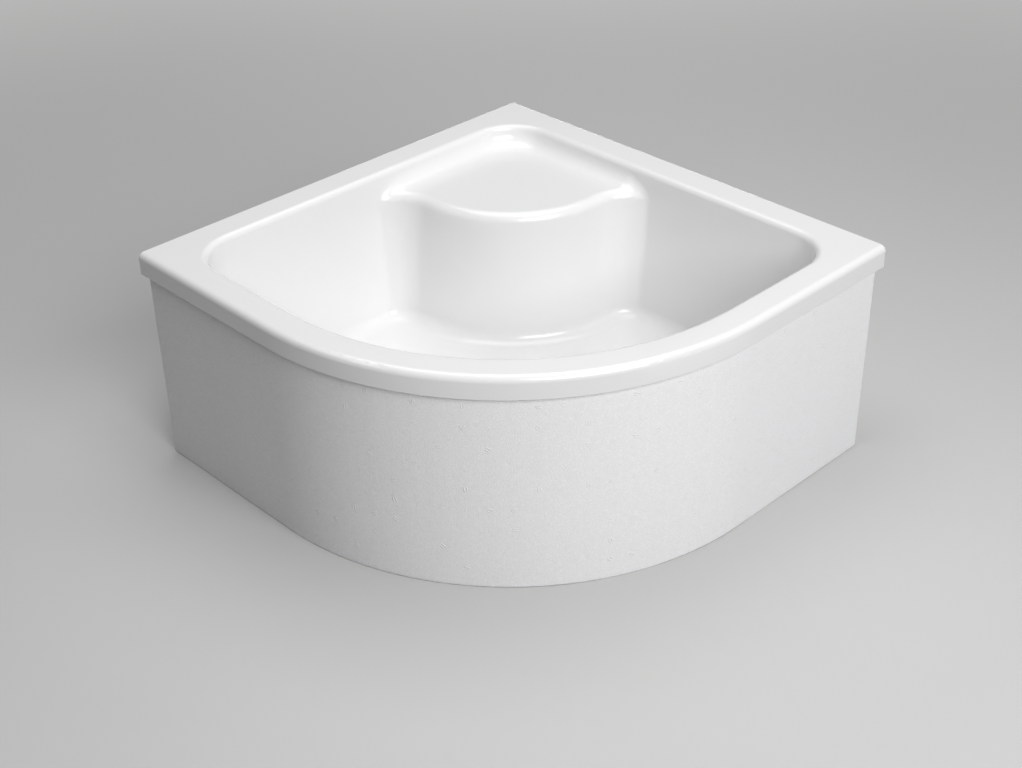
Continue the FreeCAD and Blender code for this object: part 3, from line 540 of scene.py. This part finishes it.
def moulded_polypropylene(colour):
    # Injection-moulded polypropylene: waxy white with an eroded mould texture. The real texture's grains are
    # about a tenth of a millimetre wide, too fine to show, so they are drawn 0.9 mm wide.
    material, tree, shader, place = new_material("moulded polypropylene")
    flow = node(tree, "ShaderNodeTexNoise", {"Vector": place, "Scale": per_mm(30), "Detail": 2.0})
    tone = node(tree, "ShaderNodeMix", {"Factor": flow.outputs["Fac"], MIX_FIRST: colour,
                                        MIX_SECOND: darker(colour, 0.94)}, data_type="RGBA")
    spark = node(tree, "ShaderNodeTexNoise", {"Vector": place, "Scale": per_mm(0.9), "Detail": 2.0})
    rough = node(tree, "ShaderNodeMapRange", {"Value": spark.outputs["Fac"], "To Min": 0.34, "To Max": 0.48})
    bump = node(tree, "ShaderNodeBump", {"Height": spark.outputs["Fac"], "Strength": 0.2,
                                         "Distance": 0.1 * MM})
    wire(tree, shader, {"Base Color": tone.outputs[MIX_RESULT], "Roughness": rough.outputs["Result"],
                        "Normal": bump.outputs["Normal"], "IOR": 1.49})
    return material


def trap_plastic(scene):
    """The one moulded plastic that all the trap's parts share."""
    made = bpy.data.materials.get("moulded polypropylene")
    return made or moulded_polypropylene(tuple(scene.tray_colours.trap))


def extruded_pipe(colour):
    # Grey polypropylene waste pipe: satin, with faint drawn lines along its length. Real lines are a few
    # tenths of a millimetre apart, too fine to show, so they are drawn 1.5 mm apart.
    material, tree, shader, place = new_material("extruded waste pipe")
    along = node(tree, "ShaderNodeMapping", {"Vector": place, "Scale": (1.0, 0.02, 1.0)})
    lines = node(tree, "ShaderNodeTexNoise", {"Vector": along.outputs["Vector"], "Scale": per_mm(1.5),
                                              "Detail": 3.0})
    tone = node(tree, "ShaderNodeMix", {"Factor": lines.outputs["Fac"], MIX_FIRST: colour,
                                        MIX_SECOND: darker(colour, 0.88)}, data_type="RGBA")
    rough = node(tree, "ShaderNodeMapRange", {"Value": lines.outputs["Fac"], "To Min": 0.30, "To Max": 0.42})
    bump = node(tree, "ShaderNodeBump", {"Height": lines.outputs["Fac"], "Strength": 0.15,
                                         "Distance": 0.2 * MM})
    wire(tree, shader, {"Base Color": tone.outputs[MIX_RESULT], "Roughness": rough.outputs["Result"],
                        "Normal": bump.outputs["Normal"], "IOR": 1.49})
    return material


def seal_rubber():
    # Moulded EPDM rubber: near black and dull, with a dusty bloom.
    material, tree, shader, place = new_material("seal rubber")
    bloom = node(tree, "ShaderNodeTexNoise", {"Vector": place, "Scale": per_mm(6), "Detail": 5.0})
    tone = node(tree, "ShaderNodeMix", {"Factor": bloom.outputs["Fac"], MIX_FIRST: linear("#1B1B1C"),
                                        MIX_SECOND: linear("#2C2C2D")}, data_type="RGBA")
    rough = node(tree, "ShaderNodeMapRange", {"Value": bloom.outputs["Fac"], "To Min": 0.6, "To Max": 0.85})
    bump = node(tree, "ShaderNodeBump", {"Height": bloom.outputs["Fac"], "Strength": 0.2,
                                         "Distance": 0.2 * MM})
    wire(tree, shader, {"Base Color": tone.outputs[MIX_RESULT], "Roughness": rough.outputs["Result"],
                        "Normal": bump.outputs["Normal"], "IOR": 1.52})
    return material


class TRAY_OT_acrylic_tray(bpy.types.Operator):
    """Finish the formed acrylic tray with its rim, seat and basin"""

    bl_idname = "tray.acrylic_tray"
    bl_label = "Acrylic Tray"

    def execute(self, context):
        tray = merged_copy("acrylic_tray", "tray_shell")
        smooth(tray, angle=35)
        material = sanitary_acrylic(tuple(context.scene.tray_colours.acrylic))
        dress(tray, "tray", "sanitary_acrylic", material, "tray_shell")
        return {"FINISHED"}


class TRAY_OT_foam_apron(bpy.types.Operator):
    """Build the moulded foam wall that shows under the rim"""

    bl_idname = "tray.foam_apron"
    bl_label = "Foam Apron"

    def execute(self, context):
        foam = context.scene.tray_foam
        middle = (FOAM_LOW + FOAM_HIGH) / 2
        flat = FOAM_SIDE - foam.front_radius
        near = 5 * MM
        # The two long backs are hidden once the tray is fitted, so their relief is coarser
        back_grain = 3 * foam.grain
        deselect()
        bpy.ops.mesh.primitive_plane_add(size=FOAM_SIDE, location=(middle.x, middle.y, FOAM_LOW.z))
        apron = bpy.context.object
        apron.name = "foam_apron"
        bpy.ops.object.transform_apply(location=True)
        edit(apron)
        pick(apron, "VERT", lambda v: v.co.x > middle.x and v.co.y < middle.y)
        arc = round(foam.front_radius * math.pi / 2 / foam.grain)
        bpy.ops.mesh.bevel(offset=foam.front_radius, offset_type="OFFSET", segments=arc, affect="VERTICES")
        pick(apron, "EDGE", lambda e: abs(e.calc_length() - flat) < near)
        bpy.ops.mesh.subdivide(number_cuts=round(flat / foam.grain) - 1)
        pick(apron, "EDGE", lambda e: abs(e.calc_length() - FOAM_SIDE) < near)
        bpy.ops.mesh.subdivide(number_cuts=round(FOAM_SIDE / back_grain) - 1)
        bpy.ops.mesh.select_all(action="SELECT")
        bpy.ops.mesh.extrude_region_move(TRANSFORM_OT_translate={"value": (0, 0, FOAM_HEIGHT)})
        pick(apron, "EDGE", lambda e: e.calc_length() > FOAM_HEIGHT - MM)
        bpy.ops.mesh.subdivide(number_cuts=round(FOAM_HEIGHT / foam.grain) - 1)
        pick(apron, "EDGE", lambda e: len(e.link_faces) == 2 and e.calc_face_angle() > CORNER)
        bpy.ops.mesh.bevel(offset=foam.edge_round, segments=2, affect="EDGES")
        bpy.ops.mesh.select_all(action="SELECT")
        bpy.ops.mesh.normals_make_consistent(inside=False)
        done()
        self.press(apron, foam)
        self.hollow(apron, foam, middle)
        smooth(apron, angle=50)
        self.unroll(apron, foam)
        material = bead_foam("vented bead foam", tuple(context.scene.tray_colours.foam), foam.vent_spacing)
        dress(apron, "tray", "bead_foam", material, "carrier_ring")
        return {"FINISHED"}

    def press(self, apron, foam):
        """Moves the outer face's points: slow waves, drawn streaks and pressed bead dimples."""
        wave_depth, wave_length = 0.5 * MM, 160 * MM
        streak_depth, streak_width, streak_length = 0.1 * MM, 14 * MM, 300 * MM
        # In millimetres, where a negative depth stands proud
        dimple_reach, dimple_depth = (3.8, 6.5), (-0.5, 0.9)
        points = apron.data.vertices
        outward = {v.index: v.normal.copy() for v in points if abs(v.normal.z) < UPRIGHT}
        # Sorted by place, because Blender numbers the points differently in each run
        sides = sorted(outward, key=lambda index: points[index].co[:])
        tree = kdtree.KDTree(len(sides))
        for index in sides:
            tree.insert(points[index].co, index)
        tree.balance()
        sink = dict.fromkeys(sides, 0.0)
        for index in sides:
            at = points[index].co
            drawn = Vector((at.x / streak_width, at.y / streak_width, at.z / streak_length))
            sink[index] += wave_depth * noise.noise(at / wave_length)
            sink[index] += streak_depth * noise.noise(drawn)
        chance = random.Random(7)
        for index in chance.sample(sides, foam.dimples):
            reach = chance.uniform(*dimple_reach) * MM
            depth = chance.uniform(*dimple_depth) * MM
            for _, near, away in tree.find_range(points[index].co, reach):
                sink[near] += depth * (1 - (away / reach) ** 2) ** 2
        for index, depth in sink.items():
            points[index].co -= outward[index] * depth

    def unroll(self, apron, foam):
        """Lays the outline out flat, in metres, so that vent marks keep their spacing round the front."""
        layer = apron.data.uv_layers.new(name=UNROLLED)
        flat = FOAM_SIDE - foam.front_radius
        centre = Vector((FOAM_LOW.x + flat, FOAM_HIGH.y - flat))
        quarter = foam.front_radius * math.pi / 2
        for face in apron.data.polygons:
            for loop in face.loop_indices:
                at = apron.data.vertices[apron.data.loops[loop].vertex_index].co
                right, front = at.x - centre.x, centre.y - at.y
                if abs(face.normal.z) > FACING:
                    layer.data[loop].uv = (at.x, at.y)
                elif right > 0 and front > 0:
                    layer.data[loop].uv = (foam.front_radius * math.atan2(right, front), at.z)
                elif abs(face.normal.x) > FACING:
                    layer.data[loop].uv = (quarter - front, at.z)
                else:
                    layer.data[loop].uv = (right, at.z)

    def hollow(self, apron, foam, middle):
        """Takes out the core that the inner foam fills, and the notch for the waste pipe."""
        over = 20 * MM
        inside = FOAM_SIDE - 2 * foam.wall
        notch_width, notch_height = 110 * MM, 92 * MM

        def upright(edge):
            return abs(edge.verts[0].co.z - edge.verts[1].co.z) > FOAM_HEIGHT

        def in_front(edge):
            return edge.verts[0].co.x > middle.x and edge.verts[0].co.y < middle.y

        deselect()
        bpy.ops.mesh.primitive_cube_add(size=1, location=middle)
        core = bpy.context.object
        core.scale = (inside, inside, FOAM_HEIGHT + 2 * over)
        bpy.ops.object.transform_apply(location=True, scale=True)
        edit(core)
        pick(core, "EDGE", lambda e: upright(e) and in_front(e))
        bpy.ops.mesh.bevel(offset=foam.front_radius - foam.wall, segments=80, affect="EDGES")
        pick(core, "EDGE", lambda e: upright(e) and e.calc_face_angle() > CORNER)
        bpy.ops.mesh.bevel(offset=foam.inner_corner, segments=16, affect="EDGES")
        done()
        cut(apron, core)
        deselect()
        bpy.ops.mesh.primitive_cube_add(size=1, location=(DRAIN.x, FOAM_HIGH.y, 0))
        notch = bpy.context.object
        notch.scale = (notch_width, 4 * foam.wall, 2 * notch_height)
        bpy.ops.object.transform_apply(location=True, scale=True)
        cut(apron, notch)


class TRAY_OT_inner_foam(bpy.types.Operator):
    """Finish the hidden foam slab and seat block"""

    bl_idname = "tray.inner_foam"
    bl_label = "Inner Foam"

    def execute(self, context):
        material = bead_foam("moulded bead foam", tuple(context.scene.tray_colours.foam))
        dress_node("carrier_base", material)
        dress_node("carrier_seat_block", material)
        return {"FINISHED"}


class TRAY_OT_board_and_bonding(bpy.types.Operator):
    """Finish the floor board and the adhesive that holds tray and foam together"""

    bl_idname = "tray.board_and_bonding"
    bl_label = "Board and Bonding"

    def execute(self, context):
        dress_node("floor_board", chipboard())
        material = cured_adhesive()
        for name in ("rim_bond_strip", "floor_bond_pads", "seat_bond_pads"):
            dress_node(name, material)
        return {"FINISHED"}


class TRAY_OT_waste_flange(bpy.types.Operator):
    """Build the clamping flange in the tray's recess, its screws and its seals"""

    bl_idname = "tray.waste_flange"
    bl_label = "Waste Flange"

    def execute(self, context):
        waste = context.scene.tray_waste
        steel = turned_stainless()
        at = Vector((DRAIN.x + waste.screw_circle, DRAIN.y, 0))
        flange = self.flange(waste, at)
        dress(flange, "tray", "stainless", steel, "waste_flange")
        screws = self.screws(waste, at)
        dress(screws, "tray", "stainless", steel, "flange_screws")
        rubber = seal_rubber()
        for name in ("flange_gasket", "body_gasket", "dip_tube_seal", "outlet_seal"):
            dress_node(name, rubber)
        return {"FINISHED"}

    def flange(self, waste, at):
        """The pressed ring with its sleeve and ledge, drilled for the screws."""
        radius, sleeve = half_width(FLANGE_LOW, FLANGE_HIGH), waste.sleeve_radius
        bore, low, top = sleeve - waste.sheet, FLANGE_LOW.z, FLANGE_HIGH.z
        flange = turned("waste_ring", DRAIN, [
            (waste.ledge_bore, low), (sleeve, low), (sleeve, FLANGE_UNDER), (radius, FLANGE_UNDER),
            (radius, top), (bore, top), (bore, LEDGE_TOP), (waste.ledge_bore, LEDGE_TOP)],
            ease=0.5 * MM, steps=128)
        play = 0.2 * MM
        hole, under = waste.screw_radius + play, low - MM
        drill = turned("drill", at, [(0, under), (hole, under), (hole, top), (0, top)],
                       ease=0.1 * MM, steps=24)
        cut(flange, repeat_round(drill, waste.screws))
        smooth(flange, angle=40)
        return flange

    def screws(self, waste, at):
        """Pan-head screws with a pointed end and a cross recess."""
        shank, head = waste.screw_radius, 3.6 * MM
        tip, shoulder, crown = shank * 0.4, head * 0.7, head * 0.4
        point, head_side, head_round = 3 * MM, 1.2 * MM, 0.3 * MM
        slot_length, slot_width, slot_height = 4.2 * MM, 0.9 * MM, 2.6 * MM
        screw = turned("ring_screws", at, [
            (0, SCREW_LOW.z), (tip, SCREW_LOW.z), (shank, SCREW_LOW.z + point), (shank, LEDGE_TOP),
            (head, LEDGE_TOP), (head, LEDGE_TOP + head_side), (shoulder, SCREW_HIGH.z - head_round),
            (crown, SCREW_HIGH.z), (0, SCREW_HIGH.z)], ease=0.25 * MM, steps=32)
        for size in ((slot_length, slot_width, slot_height), (slot_width, slot_length, slot_height)):
            cut(screw, block("driver", (at.x, at.y, SCREW_HIGH.z), size, ease=0.2 * MM, segments=2))
        repeat_round(screw, waste.screws)
        smooth(screw, angle=40)
        return screw


class TRAY_OT_trap(bpy.types.Operator):
    """Build the lift-out cup and dip tube, and finish the trap body and its outlet"""

    bl_idname = "tray.trap"
    bl_label = "Trap and Outlet"

    def execute(self, context):
        waste = context.scene.tray_waste
        plastic = trap_plastic(context.scene)
        dress(self.cup(waste), "cup", "trap_plastic", plastic, "trap_cup")
        dress(self.dip_tube(waste), "tube", "trap_plastic", plastic, "dip_tube")
        for name in ("trap_body", "outlet_nut"):
            dress_node(name, plastic)
        dress_node("outlet_pipe", extruded_pipe(tuple(context.scene.tray_colours.pipe)))
        return {"FINISHED"}

    def cup(self, waste):
        """The open cup that holds the water seal."""
        thickness = 2.5 * MM
        radius, low, rim = half_width(CUP_LOW, CUP_HIGH), CUP_LOW.z, CUP_HIGH.z
        bore, floor = radius - waste.wall, low + thickness
        cup = turned("seal_cup", DRAIN, [
            (0, low), (radius, low), (radius, rim), (bore, rim), (bore, floor), (0, floor)], ease=0.7 * MM)
        smooth(cup, angle=40)
        return cup

    def dip_tube(self, waste):
        """The tube that dips into the cup, with its funnel, skirt and collar."""
        skirt_depth, funnel_depth = 4 * MM, 12 * MM
        collar, skirt, tube = half_width(TUBE_LOW, TUBE_HIGH), waste.skirt_radius, waste.tube_radius
        skirt_bore, tube_bore = skirt - waste.wall, tube - waste.wall
        skirt_end = LEDGE_TOP - skirt_depth
        funnel_end = skirt_end - funnel_depth
        dip = turned("dip_funnel", DRAIN, [
            (tube_bore, TUBE_LOW.z), (tube, TUBE_LOW.z), (tube, funnel_end), (skirt, skirt_end),
            (skirt, COLLAR_UNDER), (collar, COLLAR_UNDER), (collar, TUBE_HIGH.z), (skirt_bore, TUBE_HIGH.z),
            (skirt_bore, skirt_end), (tube_bore, funnel_end)], ease=0.5 * MM)
        smooth(dip, angle=40)
        return dip


class TRAY_OT_hair_strainer(bpy.types.Operator):
    """Build the slotted strainer with its lifting hub"""

    bl_idname = "tray.hair_strainer"
    bl_label = "Hair Strainer"

    def execute(self, context):
        waste = context.scene.tray_waste
        plate, ring_wall, ring_play, hub, hub_edge = 1.8 * MM, 1.8 * MM, 0.5 * MM, 6 * MM, MM
        slot_start, slot_end, slot_width, slot_height = 9 * MM, 24 * MM, 3 * MM, 6 * MM
        radius, under, low = half_width(STRAINER_LOW, STRAINER_HIGH), TUBE_HIGH.z, STRAINER_LOW.z
        top, hub_top = under + plate, STRAINER_HIGH.z
        ring = waste.skirt_radius - waste.wall - ring_play
        strainer = turned("strainer", DRAIN, [
            (0, under), (ring - ring_wall, under), (ring - ring_wall, low), (ring, low), (ring, under),
            (radius, under), (radius, top), (hub, top), (hub, hub_top - hub_edge), (hub - hub_edge, hub_top),
            (0, hub_top)], ease=0.3 * MM, steps=128)
        at = (DRAIN.x + (slot_start + slot_end) / 2, DRAIN.y, under + MM)
        slot = block("slot", at, (slot_end - slot_start, slot_width, slot_height), ease=slot_width * 0.45)
        cut(strainer, repeat_round(slot, waste.slots))
        smooth(strainer, angle=40)
        dress(strainer, "strainer", "trap_plastic", trap_plastic(context.scene), "hair_strainer")
        return {"FINISHED"}


class TRAY_OT_drain_cover(bpy.types.Operator):
    """Build the crowned cap that stands on three feet over the drain"""

    bl_idname = "tray.drain_cover"
    bl_label = "Drain Cover"

    def execute(self, context):
        waste = context.scene.tray_waste
        edge_width, edge_height, water_gap, stem = 3 * MM, 2 * MM, 3 * MM, 4 * MM
        feet, foot_radius, foot_inset, foot_sunk = 3, 3 * MM, 5 * MM, MM
        radius, top, seat = waste.cover_radius, COVER_HIGH.z, FLANGE_HIGH.z
        inside, roof, low = radius - edge_width, top - waste.sheet, seat + water_gap
        rings = 10
        shares = [ring / rings for ring in range(rings, -1, -1)]
        crown = [(inside * share, waste.cover_crown * (1 - share ** 2)) for share in shares]
        under = [(max(reach, stem), roof + rise) for reach, rise in reversed(crown[:-1])]
        over = [(reach, top + rise) for reach, rise in crown]
        cap = turned("drain_cap", DRAIN, [
            (0, COVER_LOW.z), (stem, COVER_LOW.z), *under, (inside, low), (radius, low),
            (radius, low + edge_height), *over], ease=0.5 * MM, steps=128)
        at = Vector((DRAIN.x + radius - foot_inset, DRAIN.y, 0))
        foot_top = roof + foot_sunk
        foot = turned("cap_foot", at, [
            (0, seat), (foot_radius, seat), (foot_radius, foot_top), (0, foot_top)], ease=0.4 * MM, steps=24)
        join(cap, repeat_round(foot, feet))
        smooth(cap, angle=40)
        dress(cap, "cover", "chrome_cap", chrome_plate(), "drain_cover")
        return {"FINISHED"}


class TRAY_OT_stage(bpy.types.Operator):
    """Set the plain floor, the studio light and the camera"""

    bl_idname = "tray.stage"
    bl_label = "Stage"

    def execute(self, context):
        stage = context.scene.tray_stage
        floor_size, floor_gap = 60, 0.2 * MM
        deselect()
        bpy.ops.mesh.primitive_plane_add(size=floor_size, location=(0, 0, FOAM_LOW.z - floor_gap))
        floor = bpy.context.object
        floor.name = "floor"
        floor.data.materials.append(self.floor_paint(stage))
        aim = (0, 0, 0.25)
        self.lamp("key", place=(3.25, -0.9, 2.55), aim=aim, size=(2.8, 2.0), power=stage.key_power)
        self.lamp("top", place=(-0.25, 0.3, 2.9), aim=aim, size=(2.4, 2.4), power=stage.top_power)
        self.lamp("back", place=(-2.4, 2.6, 0.2), aim=(0, 0, 0.2), size=(2.2, 0.34), power=stage.back_power)
        context.scene.world = self.studio(stage)
        self.camera(context.scene)
        context.scene.view_settings.view_transform = "Standard"
        return {"FINISHED"}

    def studio(self, stage):
        """A world that gives an even fill and shows the backdrop's colour."""
        world = bpy.data.worlds.new("studio")
        world.use_nodes = True
        tree = world.node_tree
        fill = darker(linear("#F4F6FA"), stage.fill)
        sky = node(tree, "ShaderNodeMix", {"Factor": self.seen(tree), MIX_FIRST: fill,
                                           MIX_SECOND: tuple(stage.backdrop_colour)}, data_type="RGBA")
        wire(tree, tree.nodes["Background"], {"Color": sky.outputs[MIX_RESULT], "Strength": 1.0})
        return world

    def seen(self, tree):
        """1 where the floor or the backdrop is looked at or mirrored, 0 where it only gives light."""
        ray = node(tree, "ShaderNodeLightPath", {}).outputs
        mirrored = node(tree, "ShaderNodeMath", {0: ray["Is Glossy Ray"], 1: ray["Is Transmission Ray"]})
        looked = node(tree, "ShaderNodeMath", {0: ray["Is Camera Ray"], 1: mirrored.outputs["Value"]},
                      use_clamp=True)
        return looked.outputs["Value"]

    def floor_paint(self, stage):
        # Plain matt paint with a barely visible cloudiness. It is pale to look at, while the light that it
        # throws back at the tray is that of a grey floor, and far off it runs into the backdrop.
        material, tree, shader, place = new_material("matt floor paint")
        seen = self.seen(tree)
        colour = tuple(stage.floor_colour)
        sweep_start, sweep_end = 1.0, 3.6
        cloud = node(tree, "ShaderNodeTexNoise", {"Vector": place, "Scale": per_mm(900), "Detail": 3.0})
        tone = node(tree, "ShaderNodeMix", {"Factor": cloud.outputs["Fac"], MIX_FIRST: colour,
                                            MIX_SECOND: darker(colour, 0.95)}, data_type="RGBA")
        shown = node(tree, "ShaderNodeMix", {"Factor": seen, MIX_FIRST: darker(colour, stage.floor_bounce),
                                             MIX_SECOND: tone.outputs[MIX_RESULT]}, data_type="RGBA")
        wire(tree, shader, {"Base Color": shown.outputs[MIX_RESULT], "Roughness": 0.8})
        away = node(tree, "ShaderNodeVectorMath", {0: place}, operation="LENGTH")
        far = node(tree, "ShaderNodeMapRange", {"Value": away.outputs["Value"], "From Min": sweep_start,
                                                "From Max": sweep_end}, interpolation_type="SMOOTHSTEP")
        sweep = node(tree, "ShaderNodeMath", {0: far.outputs["Result"], 1: seen}, operation="MULTIPLY")
        backdrop = node(tree, "ShaderNodeEmission", {"Color": tuple(stage.backdrop_colour)})
        blend = node(tree, "ShaderNodeMixShader", {0: sweep.outputs["Value"], 1: shader.outputs["BSDF"],
                                                   2: backdrop.outputs["Emission"]})
        wire(tree, tree.nodes["Material Output"], {"Surface": blend.outputs["Shader"]})
        return material

    def lamp(self, name, place, aim, size, power):
        """A soft lamp of this width and height that looks at its aim."""
        bpy.ops.object.light_add(type="AREA", location=place)
        lamp = bpy.context.object
        lamp.name = name
        lamp.data.shape = "RECTANGLE"
        lamp.data.size, lamp.data.size_y = size
        lamp.data.energy = power
        lamp.visible_camera = False
        lamp.rotation_euler = (Vector(aim) - Vector(place)).to_track_quat("-Z", "Y").to_euler()

    def camera(self, scene):
        """The camera at the photograph's angle."""
        place = (1.7809, -1.7255, 1.7196)
        heading, dip, roll = 0.8028, 0.5675, -0.0182
        data = bpy.data.cameras.new("camera")
        data.lens = 58.0
        data.sensor_width = 36.0
        camera = bpy.data.objects.new("camera", data)
        scene.collection.objects.link(camera)
        turn = Matrix.Rotation(heading, 4, "Z") @ Matrix.Rotation(math.pi / 2 - dip, 4, "X")
        camera.matrix_world = Matrix.Translation(place) @ turn @ Matrix.Rotation(roll, 4, "Z")
        scene.camera = camera


class TRAY_PT_panel(bpy.types.Panel):
    """Sidebar panel with the tray's steps, sizes and colours"""

    bl_idname = "TRAY_PT_panel"
    bl_label = "Quadrant Shower Tray"
    bl_space_type = "VIEW_3D"
    bl_region_type = "UI"
    bl_category = "Tray"

    def draw(self, context):
        for step in STEPS:
            self.layout.operator(step.bl_idname)
        for group in GROUPS:
            settings = getattr(context.scene, group)
            box = self.layout.box()
            for name in settings.bl_rna.properties.keys():
                if name not in ("rna_type", "name"):
                    box.prop(settings, name)


STEPS = (TRAY_OT_acrylic_tray, TRAY_OT_foam_apron, TRAY_OT_inner_foam, TRAY_OT_board_and_bonding,
         TRAY_OT_waste_flange, TRAY_OT_trap, TRAY_OT_hair_strainer, TRAY_OT_drain_cover, TRAY_OT_stage)
GROUPS = {"tray_foam": TrayFoam, "tray_waste": TrayWaste, "tray_colours": TrayColours,
          "tray_stage": TrayStage}


def register():
    """Registers the classes and hangs the settings on the scene."""
    for kind in (*GROUPS.values(), *STEPS, TRAY_PT_panel):
        bpy.utils.register_class(kind)
    for name, kind in GROUPS.items():
        setattr(bpy.types.Scene, name, bpy.props.PointerProperty(type=kind))


def unregister():
    """Takes the settings and the classes away again."""
    for name in GROUPS:
        delattr(bpy.types.Scene, name)
    for kind in (TRAY_PT_panel, *reversed(STEPS), *reversed(GROUPS.values())):
        bpy.utils.unregister_class(kind)


def main():
    """Builds every piece in order."""
    register()
    bpy.ops.tray.acrylic_tray()
    bpy.ops.tray.foam_apron()
    bpy.ops.tray.inner_foam()
    bpy.ops.tray.board_and_bonding()
    bpy.ops.tray.waste_flange()
    bpy.ops.tray.trap()
    bpy.ops.tray.hair_strainer()
    bpy.ops.tray.drain_cover()
    bpy.ops.tray.stage()


if __name__ == "__main__":
    main()
